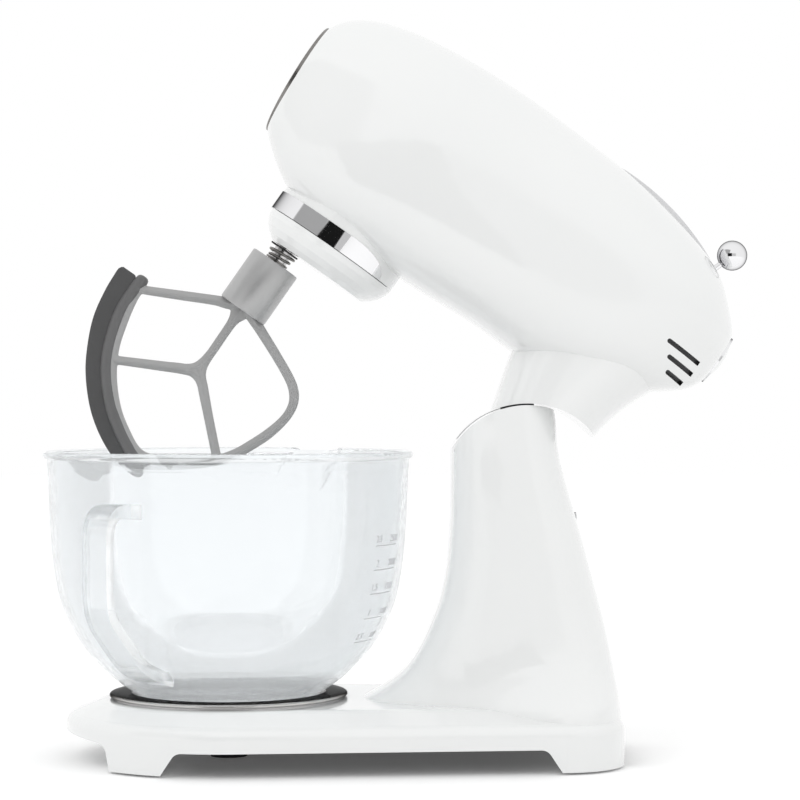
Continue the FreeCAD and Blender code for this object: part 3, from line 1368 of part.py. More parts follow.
# ---------------------------------------------------------------- motor
def rotor_shaft():
    """Motor shaft with its pinion cut on the front end."""
    shaft = rod(axis_point(REAR_BEARING_U - 18), axis_point(PLANET_U - 24), ROTOR_SHAFT)
    return shaft.fuse(pinion(0.0, -FORWARD))


def rotor_core():
    core = tube(axis_point(STATOR_U[0]), axis_point(STATOR_U[1]), ROTOR_RADIUS, ROTOR_SHAFT)
    slot_angles = range(0, 360, 30)
    for angle in slot_angles:
        slot = box(STATOR_U[0], STATOR_U[1], -1.4, 1.4, ROTOR_RADIUS - 9, ROTOR_RADIUS + 2)
        slot.rotate(Vector(0, 0, 0), Vector(1, 0, 0), angle)
        slot.translate(Vector(HEAD_X - STATOR_U[0] - STATOR_U[1], 0, HEAD_Z + NOSE_V))
        core = core.cut(slot)
    return core


def rotor_windings():
    ends = [(STATOR_U[0] - 6, STATOR_U[0]), (STATOR_U[1], STATOR_U[1] + 6)]
    return group([tube(axis_point(a), axis_point(b), ROTOR_RADIUS - 3, ROTOR_SHAFT) for a, b in ends])


def commutator():
    return tube(axis_point(REAR_BEARING_U + 13), axis_point(STATOR_U[0] - 8), 10.5, ROTOR_SHAFT)


def motor_fan():
    """Fan on the shaft's rear end: a disc with nine blades."""
    u0 = REAR_BEARING_U - 14
    disc = tube(axis_point(u0), axis_point(u0 + 2), 27.0, ROTOR_SHAFT)
    hub = tube(axis_point(u0 - 4), axis_point(u0 + 4), 8.0, ROTOR_SHAFT)
    blades = []
    for index in range(9):
        blade = box(-4, 4, -0.8, 0.8, 7.0, 27.0)
        blade.rotate(Vector(0, 0, 0), Vector(1, 0, 0), 40.0 * index)
        blade.translate(axis_point(u0 + 1))
        blades.append(blade)
    return disc.fuse(hub).multiFuse(blades)


def motor_stator():
    """Laminated stator with two flats, as a tube round the rotor."""
    inner = ROTOR_RADIUS + AIR_GAP
    core = tube(axis_point(STATOR_U[0]), axis_point(STATOR_U[1]), STATOR_RADIUS, inner + 5)
    low, high = axis_point(STATOR_U[1]), axis_point(STATOR_U[0])
    poles = box(low.x, high.x, -15, 15, low.z - inner - 7, low.z + inner + 7)
    poles = poles.cut(rod(low, high, inner))
    core = core.fuse(poles)
    for point in motor_bolt_points(STATOR_U[0]):
        core = core.cut(rod(point, point + FORWARD * 60, BOLT_RADIUS))
    return core


def field_coils():
    """Two windings round the stator's poles, showing at both ends."""
    coils = []
    for side in (-1, 1):
        for start, end in ((STATOR_U[0] - 9, STATOR_U[0]), (STATOR_U[1], STATOR_U[1] + 9)):
            ring = tube(axis_point(start), axis_point(end), STATOR_RADIUS - 5, ROTOR_RADIUS + 3)
            z0, z1 = sorted((side * 12.0, side * STATOR_RADIUS))
            centre = axis_point(0).z
            coils.append(ring.common(box(-200, 300, -30, 30, centre + z0, centre + z1)))
    return group(coils)


def motor_bolt_points(u):
    centre = axis_point(u)
    reach = STATOR_RADIUS - 3.6
    return [centre + Vector(0, side * reach, 0) for side in (-1, 1)]


def motor_bracket(u, hub_u):
    """Cross piece that carries a motor bearing and is clamped to the stator by two bolts."""
    centre = axis_point(u)
    arm = box(centre.x - BRACKET_THICK, centre.x, -STATOR_RADIUS, STATOR_RADIUS, centre.z - 9, centre.z + 9)
    outer = ROTOR_SHAFT + BEARING_WALL + 3
    hub = rod(axis_point(hub_u - 1), axis_point(hub_u + BEARING_WIDTH + 1), outer)
    bracket = arm.fuse(hub)
    seat = rod(axis_point(hub_u), axis_point(hub_u + BEARING_WIDTH), ROTOR_SHAFT + BEARING_WALL)
    bracket = bracket.cut(seat)
    bracket = bracket.cut(rod(axis_point(hub_u - 20), axis_point(hub_u + 30), ROTOR_SHAFT + 1.5))
    for point in motor_bolt_points(u):
        bracket = bracket.cut(rod(point - FORWARD * 9, point + FORWARD * 9, BOLT_RADIUS))
    return bracket


def motor_brackets():
    rear = motor_bracket(REAR_BEARING_U + 2, REAR_BEARING_U)
    front = motor_bracket(FRONT_BEARING_U + 1, FRONT_BEARING_U)
    return group([rear, front])


def motor_bearings():
    rings = []
    for start in (REAR_BEARING_U, FRONT_BEARING_U):
        rings.append(bearing(axis_point(start), axis_point(start + BEARING_WIDTH),
                             ROTOR_SHAFT + BEARING_WALL, ROTOR_SHAFT + PIN_CLEAR))
    return group(rings)


def motor_bolts():
    """Two through bolts with spacers' length between the brackets."""
    start = REAR_BEARING_U - 1.0
    length = FRONT_BEARING_U + 1 + BRACKET_THICK + 3 - start
    return group([screw(point, FORWARD, length, BOLT_RADIUS, 3.4, 3.0) for point in motor_bolt_points(start)])


def motor_brushes():
    """Carbon brushes on both sides of the commutator."""
    middle = axis_point((REAR_BEARING_U + 13 + STATOR_U[0] - 8) / 2)
    brushes = []
    for side in (-1, 1):
        y0, y1 = sorted((side * 10.7, side * 24.0))
        brushes.append(box(middle.x - 2.5, middle.x + 2.5, y0, y1, middle.z - 3.5, middle.z + 3.5))
    return group(brushes)


def chrome_band():
    """Thin bright band round the front of the boss."""
    band = tube(head_point(PLANET_U, BOSS_V), head_point(PLANET_U, BOSS_V + BAND_HEIGHT),
                BOSS_RADIUS + BAND_THICK, BOSS_RADIUS)
    level = BAND_SPAN - 2 * math.degrees(math.asin(BAND_END / BOSS_RADIUS))
    wedge = Part.makeCylinder(BOSS_RADIUS * 2, 60, UP * (HEAD_Z + BOSS_V - 20), UP, level)
    wedge.rotate(Vector(0, 0, 0), UP, 180 - level / 2)
    return largest(band.common(wedge.multiFuse([band_end(side, level / 2) for side in (-1, 1)])))


def band_end(side, half_level):
    """Elliptic block that rounds the band's end down to its lower edge."""
    ellipse = Part.Ellipse(Vector(0, 0, 0), BAND_END, BAND_HEIGHT)
    face = Part.Face(Part.Wire(ellipse.toShape()))
    block = face.extrude(UP * BOSS_RADIUS * 2)
    block.rotate(Vector(0, 0, 0), Vector(1, 0, 0), 90)
    block.translate(UP * (HEAD_Z + BOSS_V))
    block.rotate(Vector(0, 0, 0), UP, side * half_level - 90)
    return block


# ---------------------------------------------------------------- writing
HEAD_NODES = {
    "head_shell": head_shell,
    "neck_casting": neck_shell,
    "nose_ring": nose_ring,
    "hub_socket": hub_socket,
    "hub_cap": hub_cap,
    "rear_ring": rear_ring,
    "rear_cap": rear_cap,
    "vent_grilles": vent_grilles,
    "speed_strip": speed_strip,
    "speed_sensor": speed_sensor,
    "lever_stem": lever_stem,
    "lever_ball": lever_ball,
    "lever_carriage": lever_carriage,
    "control_board": control_board,
    "hinge_tongue": hinge_tongue,
    "tongue_bolts": tongue_bolts,
    "slot_shield": slot_shield,
    "hinge_bushes": hinge_bushes,
    "chrome_band": chrome_band,
    "ring_gear": lambda: with_case_holes(ring_gear()),
    "gear_case": lambda: with_case_holes(gear_case()),
    "gear_case_screws": case_screws,
    "main_bearings": main_bearings,
    "crown_gear": crown_gear,
    "main_shaft": main_shaft,
    "planetary_dish": planetary_dish,
    "shaft_bushes": shaft_bushes,
    "planet_gear": planet_gear,
    "beater_shaft": beater_shaft,
    "drive_pin": drive_pin,
    "shaft_washer": shaft_washer,
    "shaft_spring": shaft_spring,
    "beater_frame": beater_frame,
    "beater_wiper": beater_wiper,
    "motor_stator": motor_stator,
    "field_coils": field_coils,
    "motor_brackets": motor_brackets,
    "motor_bearings": motor_bearings,
    "motor_bolts": motor_bolts,
    "motor_brushes": motor_brushes,
    "rotor_shaft": rotor_shaft,
    "rotor_core": rotor_core,
    "rotor_windings": rotor_windings,
    "commutator": commutator,
    "motor_fan": motor_fan,
    "accessory_shaft": accessory_shaft,
    "accessory_bearing": accessory_bearing,
}
STAND_NODES = {
    "base_casting": base_casting,
    "base_cover": base_cover,
    "rubber_feet": rubber_feet,
    "foot_screws": foot_screws,
    "hinge_pin": hinge_pin,
    "bowl_seat": bowl_seat,
    "seat_screws": seat_screws,
    "lock_button": lock_button,
    "lock_spring": lock_spring,
    "cord_grommet": cord_grommet,
    "bowl_glass": bowl_glass,
    "bowl_handle": bowl_handle,
    "bowl_ring": bowl_ring,
}


def main():
    os.makedirs("parts", exist_ok=True)
    for name, build in list(HEAD_NODES.items()) + list(STAND_NODES.items()):
        shape = build()
        if name in HEAD_NODES:
            shape = shape.copy()
            shape.rotate(PIVOT, ACROSS, HEAD_OPEN)
        shape.exportStep("parts/" + name + ".step")


main()
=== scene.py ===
"""Looks of a tilt-head stand mixer with its head raised, over a clear glass bowl.

Lengths are in metres, apart from the profiles and paths given to lathe and flat_frames, which are in
millimetres. Pieces of the head are shaped as if the head were down and then turned up with it, so that
their sizes read straight: forward is -X, up is +Z, and y is across.
"""
import json
import math

import bmesh
import bpy
from mathutils import Matrix, Vector
from mathutils.bvhtree import BVHTree


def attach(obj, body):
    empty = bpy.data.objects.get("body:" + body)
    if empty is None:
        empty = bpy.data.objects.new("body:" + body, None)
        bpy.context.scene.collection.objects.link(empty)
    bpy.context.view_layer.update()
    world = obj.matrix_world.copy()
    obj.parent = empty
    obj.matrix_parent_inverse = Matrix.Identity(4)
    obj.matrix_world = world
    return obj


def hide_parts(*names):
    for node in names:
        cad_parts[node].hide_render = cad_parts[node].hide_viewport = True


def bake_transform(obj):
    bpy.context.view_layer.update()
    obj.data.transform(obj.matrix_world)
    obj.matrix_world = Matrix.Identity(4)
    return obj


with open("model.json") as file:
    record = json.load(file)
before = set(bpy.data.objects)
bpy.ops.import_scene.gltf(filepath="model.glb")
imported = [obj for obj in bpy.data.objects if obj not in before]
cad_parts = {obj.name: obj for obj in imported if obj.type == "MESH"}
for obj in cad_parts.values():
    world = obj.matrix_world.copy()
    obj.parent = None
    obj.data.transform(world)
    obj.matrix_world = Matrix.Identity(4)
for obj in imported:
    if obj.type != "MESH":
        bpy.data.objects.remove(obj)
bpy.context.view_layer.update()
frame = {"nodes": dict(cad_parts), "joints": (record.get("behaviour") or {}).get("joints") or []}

NODES = frame["nodes"]
JOINTS = {joint["name"]: joint for joint in frame["joints"]}
MM = 0.001
UP = Vector((0, 0, 1))
WELD = 1e-6              # vertices closer than this are one

PIVOT = Vector(JOINTS["head_tilt"]["pos_m"])
HEAD_OPEN = -math.radians(JOINTS["head_tilt"]["range_deg"][0])
HEAD = Matrix.Translation(PIVOT) @ Matrix.Rotation(HEAD_OPEN, 4, "Y") @ Matrix.Translation(-PIVOT)


# ---------------------------------------------------------------- shader helpers
def feed(tree, value, socket):
    """Sets a socket to a number, or links another node's output to it."""
    if isinstance(value, (int, float)):
        socket.default_value = value
    else:
        tree.links.new(value, socket)


def math_node(tree, operation, first, second):
    """Output of one sum. first and second are numbers or outputs."""
    node = tree.nodes.new("ShaderNodeMath")
    node.operation = operation
    feed(tree, first, node.inputs[0])
    feed(tree, second, node.inputs[1])
    return node.outputs[0]


def span(tree, value, low, high):
    """Maps 0..1 onto low..high, where low and high are numbers or outputs."""
    node = tree.nodes.new("ShaderNodeMapRange")
    tree.links.new(value, node.inputs["Value"])
    feed(tree, low, node.inputs["To Min"])
    feed(tree, high, node.inputs["To Max"])
    return node.outputs[0]


def noise(tree, vector, scale, detail=2.0, roughness=0.5):
    """Cloudy noise of 0..1. scale is a number or an output."""
    node = tree.nodes.new("ShaderNodeTexNoise")
    node.inputs["Detail"].default_value = detail
    node.inputs["Roughness"].default_value = roughness
    tree.links.new(vector, node.inputs["Vector"])
    feed(tree, scale, node.inputs["Scale"])
    return node.outputs["Fac"]


def average(tree, first, second):
    """Half of the sum of two outputs."""
    return math_node(tree, "MULTIPLY", math_node(tree, "ADD", first, second), 0.5)


def stretched(tree, vector, scale):
    """The pattern's place with each axis scaled by itself."""
    node = tree.nodes.new("ShaderNodeVectorMath")
    node.operation = "MULTIPLY"
    node.inputs[1].default_value = scale
    tree.links.new(vector, node.inputs[0])
    return node.outputs[0]


def bump(tree, height, strength, depth, surface):
    """Gives a surface relief. depth is in metres."""
    relief = tree.nodes.new("ShaderNodeBump")
    relief.inputs["Strength"].default_value = strength
    relief.inputs["Distance"].default_value = depth
    tree.links.new(height, relief.inputs["Height"])
    tree.links.new(relief.outputs["Normal"], surface.inputs["Normal"])


def mixed(tree, share, first, second):
    """Mix of two shaders, with share of the second."""
    mix = tree.nodes.new("ShaderNodeMixShader")
    feed(tree, share, mix.inputs["Fac"])
    tree.links.new(first, mix.inputs[1])
    tree.links.new(second, mix.inputs[2])
    return mix.outputs[0]


def seen_directly(tree):
    """1 where the camera looks at this straight, in a mirror or through glass."""
    path = tree.nodes.new("ShaderNodeLightPath")
    seen = math_node(tree, "MAXIMUM", path.outputs["Is Camera Ray"], path.outputs["Is Glossy Ray"])
    return math_node(tree, "MAXIMUM", seen, path.outputs["Is Transmission Ray"])


# ---------------------------------------------------------------- finishes as node groups
FINISH_INPUTS = [
    ("Vector", "Vector", None),
    ("Dark", "Color", (0.5, 0.5, 0.5, 1)),
    ("Light", "Color", (0.6, 0.6, 0.6, 1)),
    ("Grain", "Float", 400.0),
    ("Smooth", "Float", 0.2),
    ("Rough", "Float", 0.3),
]
FINISH_OUTPUTS = [("Color", "Color"), ("Roughness", "Float"), ("Height", "Float")]


def new_group(name, inputs, outputs):
    """An empty node group. inputs are (name, kind, value), outputs are (name, kind)."""
    group = bpy.data.node_groups.new(name, "ShaderNodeTree")
    for title, kind, value in inputs:
        socket = group.interface.new_socket(title, in_out="INPUT", socket_type="NodeSocket" + kind)
        if value is not None:
            socket.default_value = value
    for title, kind in outputs:
        group.interface.new_socket(title, in_out="OUTPUT", socket_type="NodeSocket" + kind)
    return group, group.nodes.new("NodeGroupInput"), group.nodes.new("NodeGroupOutput")


def finish_group(name, pattern):
    """A finish: pattern gives the tone, the roughness mask and the height of the surface."""
    group, source, sink = new_group(name, FINISH_INPUTS, FINISH_OUTPUTS)
    tone, mask, height = pattern(group, source.outputs["Vector"], source.outputs["Grain"])
    mix = group.nodes.new("ShaderNodeMix")
    mix.data_type = "RGBA"
    group.links.new(tone, mix.inputs["Factor"])
    group.links.new(source.outputs["Dark"], mix.inputs["A"])
    group.links.new(source.outputs["Light"], mix.inputs["B"])
    group.links.new(mix.outputs["Result"], sink.inputs["Color"])
    rough = span(group, mask, source.outputs["Smooth"], source.outputs["Rough"])
    group.links.new(rough, sink.inputs["Roughness"])
    group.links.new(height, sink.inputs["Height"])
    return group


def lacquer_pattern(tree, vector, grain):
    """Poured lacquer: a faint ripple, cloudy gloss and a little house dust."""
    speck_share = 0.72       # noise above this is a speck
    ripple = noise(tree, vector, grain, detail=1.0)
    cloud = noise(tree, vector, scale=14.0, detail=3.0)
    dust = noise(tree, vector, math_node(tree, "MULTIPLY", grain, 6.0))
    specks = math_node(tree, "GREATER_THAN", dust, speck_share)
    gloss = math_node(tree, "ADD", math_node(tree, "MULTIPLY", cloud, 0.8), specks)
    return cloud, gloss, ripple


def moulding_pattern(tree, vector, grain):
    """Moulded plastic or rubber: fine sparked grain over soft flow clouds."""
    fine = noise(tree, vector, grain, detail=3.0, roughness=0.6)
    flow = noise(tree, vector, scale=40.0)
    return average(tree, fine, flow), fine, fine


def brushed_pattern(tree, vector, grain):
    """Long fine strokes along X with a few deeper ones."""
    lines = noise(tree, stretched(tree, vector, (0.04, 1.0, 1.0)), grain, detail=4.0, roughness=0.7)
    clouds = noise(tree, vector, scale=30.0)
    return average(tree, lines, clouds), lines, lines


def turned_pattern(tree, vector, grain):
    """Rings about the pattern's Z axis, as a lathe leaves them."""
    flat = stretched(tree, vector, (1.0, 1.0, 0.0))
    length = tree.nodes.new("ShaderNodeVectorMath")
    length.operation = "LENGTH"
    tree.links.new(flat, length.inputs[0])
    rings = tree.nodes.new("ShaderNodeCombineXYZ")
    tree.links.new(length.outputs["Value"], rings.inputs["X"])
    split = tree.nodes.new("ShaderNodeSeparateXYZ")
    tree.links.new(vector, split.inputs[0])
    tree.links.new(split.outputs["Z"], rings.inputs["Z"])
    lines = noise(tree, rings.outputs[0], grain, detail=5.0, roughness=0.7)
    clouds = noise(tree, vector, scale=60.0)
    return average(tree, lines, clouds), lines, lines


def cast_pattern(tree, vector, grain):
    """Pebbled skin of a casting."""
    pebbles = tree.nodes.new("ShaderNodeTexVoronoi")
    pebbles.feature = "SMOOTH_F1"
    tree.links.new(vector, pebbles.inputs["Vector"])
    tree.links.new(grain, pebbles.inputs["Scale"])
    clouds = noise(tree, vector, scale=50.0, detail=4.0)
    height = math_node(tree, "ADD", pebbles.outputs["Distance"], clouds)
    return clouds, clouds, height


def plated_pattern(tree, vector, grain):
    """Mirror plate: wiping marks and faint fogging."""
    wipes = noise(tree, stretched(tree, vector, (0.3, 0.3, 1.6)), grain, detail=3.0, roughness=0.6)
    fog = noise(tree, vector, scale=35.0, detail=3.0)
    smear = math_node(tree, "MULTIPLY", wipes, fog)
    return fog, smear, wipes


LACQUER = finish_group("lacquer", lacquer_pattern)
MOULDING = finish_group("moulding", moulding_pattern)
BRUSHED = finish_group("brushed strokes", brushed_pattern)
TURNED = finish_group("turning marks", turned_pattern)
CAST = finish_group("cast skin", cast_pattern)
PLATED = finish_group("plating", plated_pattern)


# ---------------------------------------------------------------- materials
def material(name, finish, dark, light, grain, gloss, relief, turn=None, **shader):
    """A material whose finish drives colour, roughness and bump.

    gloss is the roughness of its smoothest and roughest spots, and relief the strength and depth of its
    bump. turn is a matrix that brings the pattern's axes onto the piece. Other values go straight to
    the Principled shader.
    """
    made = bpy.data.materials.new(name)
    made.use_nodes = True
    tree = made.node_tree
    surface = tree.nodes["Principled BSDF"]
    place = tree.nodes.new("ShaderNodeTexCoord").outputs["Object"]
    if turn is not None:
        mapping = tree.nodes.new("ShaderNodeMapping")
        mapping.vector_type = "TEXTURE"
        mapping.inputs["Location"].default_value = turn.to_translation()
        mapping.inputs["Rotation"].default_value = turn.to_euler()
        tree.links.new(place, mapping.inputs["Vector"])
        place = mapping.outputs[0]
    skin = tree.nodes.new("ShaderNodeGroup")
    skin.node_tree = finish
    tree.links.new(place, skin.inputs["Vector"])
    smooth, rough = gloss
    for title, value in (("Dark", (*dark, 1)), ("Light", (*light, 1)), ("Grain", grain),
                         ("Smooth", smooth), ("Rough", rough)):
        skin.inputs[title].default_value = value
    tree.links.new(skin.outputs["Color"], surface.inputs["Base Color"])
    tree.links.new(skin.outputs["Roughness"], surface.inputs["Roughness"])
    strength, depth = relief
    bump(tree, skin.outputs["Height"], strength, depth, surface)
    for title, value in shader.items():
        surface.inputs[title.replace("_", " ")].default_value = value
    return made


def spin_axis(joint):
    """Pattern turn that puts Z on a joint's axis."""
    turn = Vector(JOINTS[joint]["axis"]).to_track_quat("Z", "Y").to_matrix().to_4x4()
    return Matrix.Translation(Vector(JOINTS[joint]["pos_m"])) @ turn


MOTOR_AXIS = spin_axis("rotor_spin")
HEAD_AXIS = spin_axis("planetary_spin")
BEATER_AXIS = spin_axis("beater_spin")
PAINTED_DARK_RIM = (0.05, 0.05, 0.05, 1)        # painted dark reflection: tints the plated metal's reflection nearly black where it is seen edge-on

enamel = material(
    "white_enamel", LACQUER, dark=(0.825, 0.835, 0.83), light=(0.855, 0.862, 0.858), grain=260.0,
    gloss=(0.16, 0.24), relief=(0.06, 0.0002), Coat_Weight=0.9, Coat_Roughness=0.03,
    Specular_IOR_Level=0.4)
chrome = material(
    "chrome_plate", PLATED, dark=(0.80, 0.80, 0.81), light=(0.90, 0.90, 0.91), grain=70.0,
    gloss=(0.03, 0.09), relief=(0.03, 0.0002), Metallic=1.0, Specular_Tint=PAINTED_DARK_RIM)
dish_steel = material(
    "polished_steel", TURNED, dark=(0.50, 0.49, 0.48), light=(0.66, 0.65, 0.64), grain=1500.0,
    gloss=(0.06, 0.16), relief=(0.05, 0.0001), Metallic=1.0, Specular_Tint=PAINTED_DARK_RIM)
seat_steel = material(
    "seat_steel", TURNED, dark=(0.52, 0.51, 0.51), light=(0.66, 0.65, 0.65), grain=1800.0,
    gloss=(0.2, 0.32), relief=(0.1, 0.0001), Metallic=1.0)
strip_metal = material(
    "satin_strip", BRUSHED, dark=(0.72, 0.72, 0.73), light=(0.80, 0.80, 0.81), grain=1400.0,
    gloss=(0.30, 0.42), relief=(0.05, 0.0001), Metallic=0.35)
cup_steel = material(
    "cup_steel", TURNED, dark=(0.56, 0.545, 0.54), light=(0.66, 0.645, 0.64), grain=1500.0,
    gloss=(0.42, 0.52), relief=(0.05, 0.0001), Metallic=0.7)
screw_steel = material(
    "screw_steel", BRUSHED, dark=(0.46, 0.46, 0.47), light=(0.62, 0.62, 0.63), grain=1200.0,
    gloss=(0.25, 0.4), relief=(0.12, 0.0001), Metallic=1.0)
gear_steel = material(
    "gear_steel", TURNED, dark=(0.36, 0.36, 0.38), light=(0.52, 0.52, 0.54), grain=1600.0,
    gloss=(0.22, 0.38), relief=(0.15, 0.0001), turn=HEAD_AXIS, Metallic=1.0)
shaft_steel = material(
    "shaft_steel", TURNED, dark=(0.50, 0.49, 0.49), light=(0.66, 0.65, 0.65), grain=2400.0,
    gloss=(0.16, 0.3), relief=(0.12, 0.0001), turn=BEATER_AXIS, Metallic=1.0)
spring_steel = material(
    "spring_steel", BRUSHED, dark=(0.16, 0.15, 0.14), light=(0.34, 0.33, 0.32), grain=900.0,
    gloss=(0.22, 0.36), relief=(0.1, 0.0001), Metallic=1.0)
rotor_steel = material(
    "rotor_steel", TURNED, dark=(0.34, 0.34, 0.36), light=(0.5, 0.5, 0.52), grain=1700.0,
    gloss=(0.22, 0.4), relief=(0.15, 0.0001), turn=MOTOR_AXIS, Metallic=1.0)
cast_iron = material(
    "cast_iron", CAST, dark=(0.10, 0.10, 0.105), light=(0.17, 0.17, 0.175), grain=700.0, gloss=(0.5, 0.7),
    relief=(0.5, 0.0003), Metallic=0.8)
die_cast = material(
    "die_cast_aluminium", CAST, dark=(0.48, 0.49, 0.50), light=(0.62, 0.62, 0.63), grain=900.0,
    gloss=(0.35, 0.5), relief=(0.3, 0.0002), Metallic=1.0)
beater_coat = material(
    "beater_coating", MOULDING, dark=(0.345, 0.345, 0.345), light=(0.375, 0.375, 0.375), grain=900.0,
    gloss=(0.36, 0.44), relief=(0.04, 0.0001), Metallic=0.2, Specular_IOR_Level=0.5)
hub_coat = material(
    "socket_coating", BRUSHED, dark=(0.41, 0.41, 0.41), light=(0.48, 0.48, 0.48), grain=900.0,
    gloss=(0.30, 0.38), relief=(0.05, 0.0001), turn=BEATER_AXIS, Metallic=0.5, Specular_IOR_Level=0.5)
grey_channel = material(
    "grey_channel", MOULDING, dark=(0.115, 0.115, 0.116), light=(0.15, 0.15, 0.151), grain=2200.0,
    gloss=(0.36, 0.5), relief=(0.15, 0.0001), Specular_IOR_Level=0.4)
mark_print = material(
    "mark_print", MOULDING, dark=(0.50, 0.50, 0.52), light=(0.60, 0.60, 0.62), grain=2600.0,
    gloss=(0.4, 0.5), relief=(0.1, 0.0001))
soft_grey = material(
    "soft_grey_edge", MOULDING, dark=(0.068, 0.068, 0.069), light=(0.092, 0.092, 0.093), grain=2200.0,
    gloss=(0.5, 0.62), relief=(0.2, 0.0001), Specular_IOR_Level=0.3)
black_rubber = material(
    "black_rubber", MOULDING, dark=(0.012, 0.012, 0.012), light=(0.028, 0.028, 0.028), grain=1800.0,
    gloss=(0.6, 0.8), relief=(0.3, 0.0001))
black_plastic = material(
    "black_plastic", MOULDING, dark=(0.010, 0.010, 0.011), light=(0.022, 0.022, 0.024), grain=2600.0,
    gloss=(0.38, 0.55), relief=(0.25, 0.0001))
copper_wire = material(
    "copper_wire", TURNED, dark=(0.40, 0.16, 0.07), light=(0.68, 0.30, 0.14), grain=3000.0,
    gloss=(0.2, 0.35), relief=(0.8, 0.0004), turn=MOTOR_AXIS, Metallic=0.9)
brass = material(
    "turned_brass", TURNED, dark=(0.50, 0.36, 0.14), light=(0.66, 0.50, 0.22), grain=2000.0,
    gloss=(0.2, 0.35), relief=(0.2, 0.0001), turn=MOTOR_AXIS, Metallic=1.0)
bronze = material(
    "sintered_bronze", CAST, dark=(0.32, 0.20, 0.10), light=(0.46, 0.30, 0.16), grain=2400.0,
    gloss=(0.4, 0.55), relief=(0.3, 0.0001), Metallic=0.9)
laminate = material(
    "steel_sheets", BRUSHED, dark=(0.14, 0.14, 0.15), light=(0.30, 0.30, 0.32), grain=3600.0,
    gloss=(0.4, 0.6), relief=(0.6, 0.0003), turn=MOTOR_AXIS, Metallic=0.8)
carbon = material(
    "pressed_carbon", CAST, dark=(0.012, 0.012, 0.012), light=(0.04, 0.04, 0.04), grain=2600.0,
    gloss=(0.55, 0.75), relief=(0.4, 0.0001))
board_green = material(
    "board_green", MOULDING, dark=(0.008, 0.06, 0.025), light=(0.012, 0.10, 0.045), grain=1200.0,
    gloss=(0.25, 0.4), relief=(0.1, 0.0001), Coat_Weight=0.3)

GLASS_ROUGHNESS = 0.012         # of its foggiest spots
GLASS_RELIEF = 0.05             # strength of its waves
GLASS_WAVE = 0.0006             # depth of its waves
GLASS_TINT = (0.965, 0.975, 0.98, 1)
VEIL_TINT = (0.95, 0.975, 1.0, 1)


def glass_material(name, colour, ripple, clearness, haze):
    """Clear pressed glass: it bends what is behind it and lets lamps and soft light through.

    ripple is the scale of its waves. clearness is the share of light that passes unbent, and haze the
    share that a faint veil scatters.
    """
    made = bpy.data.materials.new(name)
    made.use_nodes = True
    tree = made.node_tree
    surface = tree.nodes["Principled BSDF"]
    surface.inputs["Base Color"].default_value = (*colour, 1)
    surface.inputs["Transmission Weight"].default_value = 1.0
    surface.inputs["IOR"].default_value = 1.5
    place = tree.nodes.new("ShaderNodeTexCoord").outputs["Object"]
    waves = noise(tree, place, ripple, detail=1.0)
    fog = noise(tree, place, scale=25.0, detail=3.0)
    tree.links.new(span(tree, fog, 0.0, GLASS_ROUGHNESS), surface.inputs["Roughness"])
    bump(tree, waves, GLASS_RELIEF, GLASS_WAVE, surface)
    path = tree.nodes.new("ShaderNodeLightPath")
    soft = math_node(tree, "MAXIMUM", path.outputs["Is Shadow Ray"], path.outputs["Is Diffuse Ray"])
    clear = tree.nodes.new("ShaderNodeBsdfTransparent")
    clear.inputs["Color"].default_value = GLASS_TINT
    bent = mixed(tree, math_node(tree, "MAXIMUM", soft, clearness), surface.outputs[0], clear.outputs[0])
    veil = tree.nodes.new("ShaderNodeBsdfDiffuse")
    veil.inputs["Color"].default_value = VEIL_TINT
    hard = math_node(tree, "SUBTRACT", 1.0, soft)
    hazy = mixed(tree, math_node(tree, "MULTIPLY", hard, haze), bent, veil.outputs[0])
    tree.links.new(hazy, tree.nodes["Material Output"].inputs["Surface"])
    return made


bowl_glass = glass_material("bowl_glass", (0.975, 0.99, 1.0), ripple=22.0, clearness=0.35, haze=0.02)
handle_glass = glass_material("handle_glass", (0.985, 0.992, 0.995), ripple=60.0, clearness=0.25, haze=0.03)

NODE_MATERIALS = {
    enamel: ["base_casting", "head_shell", "neck_casting", "rear_cap", "hub_cap", "planetary_dish"],
    chrome: ["nose_ring", "rear_ring", "lever_stem", "lever_ball", "chrome_band", "lock_button"],
    strip_metal: ["speed_strip"],
    cup_steel: ["bowl_ring"],
    seat_steel: ["bowl_seat"],
    screw_steel: ["foot_screws", "seat_screws", "tongue_bolts", "gear_case_screws", "motor_bolts",
                  "hinge_pin", "main_bearings", "motor_bearings", "accessory_bearing", "drive_pin"],
    gear_steel: ["ring_gear", "main_shaft", "crown_gear", "planet_gear"],
    shaft_steel: ["beater_shaft"],
    spring_steel: ["shaft_spring", "lock_spring"],
    rotor_steel: ["rotor_shaft", "accessory_shaft"],
    cast_iron: ["hinge_tongue"],
    die_cast: ["hub_socket", "gear_case", "motor_brackets"],
    beater_coat: ["beater_frame"],
    soft_grey: ["beater_wiper", "shaft_washer"],
    black_rubber: ["rubber_feet", "cord_grommet"],
    black_plastic: ["base_cover", "vent_grilles", "speed_sensor", "slot_shield", "lever_carriage",
                    "motor_fan"],
    copper_wire: ["field_coils", "rotor_windings"],
    brass: ["commutator"],
    bronze: ["hinge_bushes", "shaft_bushes"],
    laminate: ["motor_stator", "rotor_core"],
    carbon: ["motor_brushes"],
    board_green: ["control_board"],
    bowl_glass: ["bowl_glass"],
    handle_glass: ["bowl_handle"],
}
for coat, names in NODE_MATERIALS.items():
    for name in names:
        NODES[name].data.materials.clear()
        NODES[name].data.materials.append(coat)


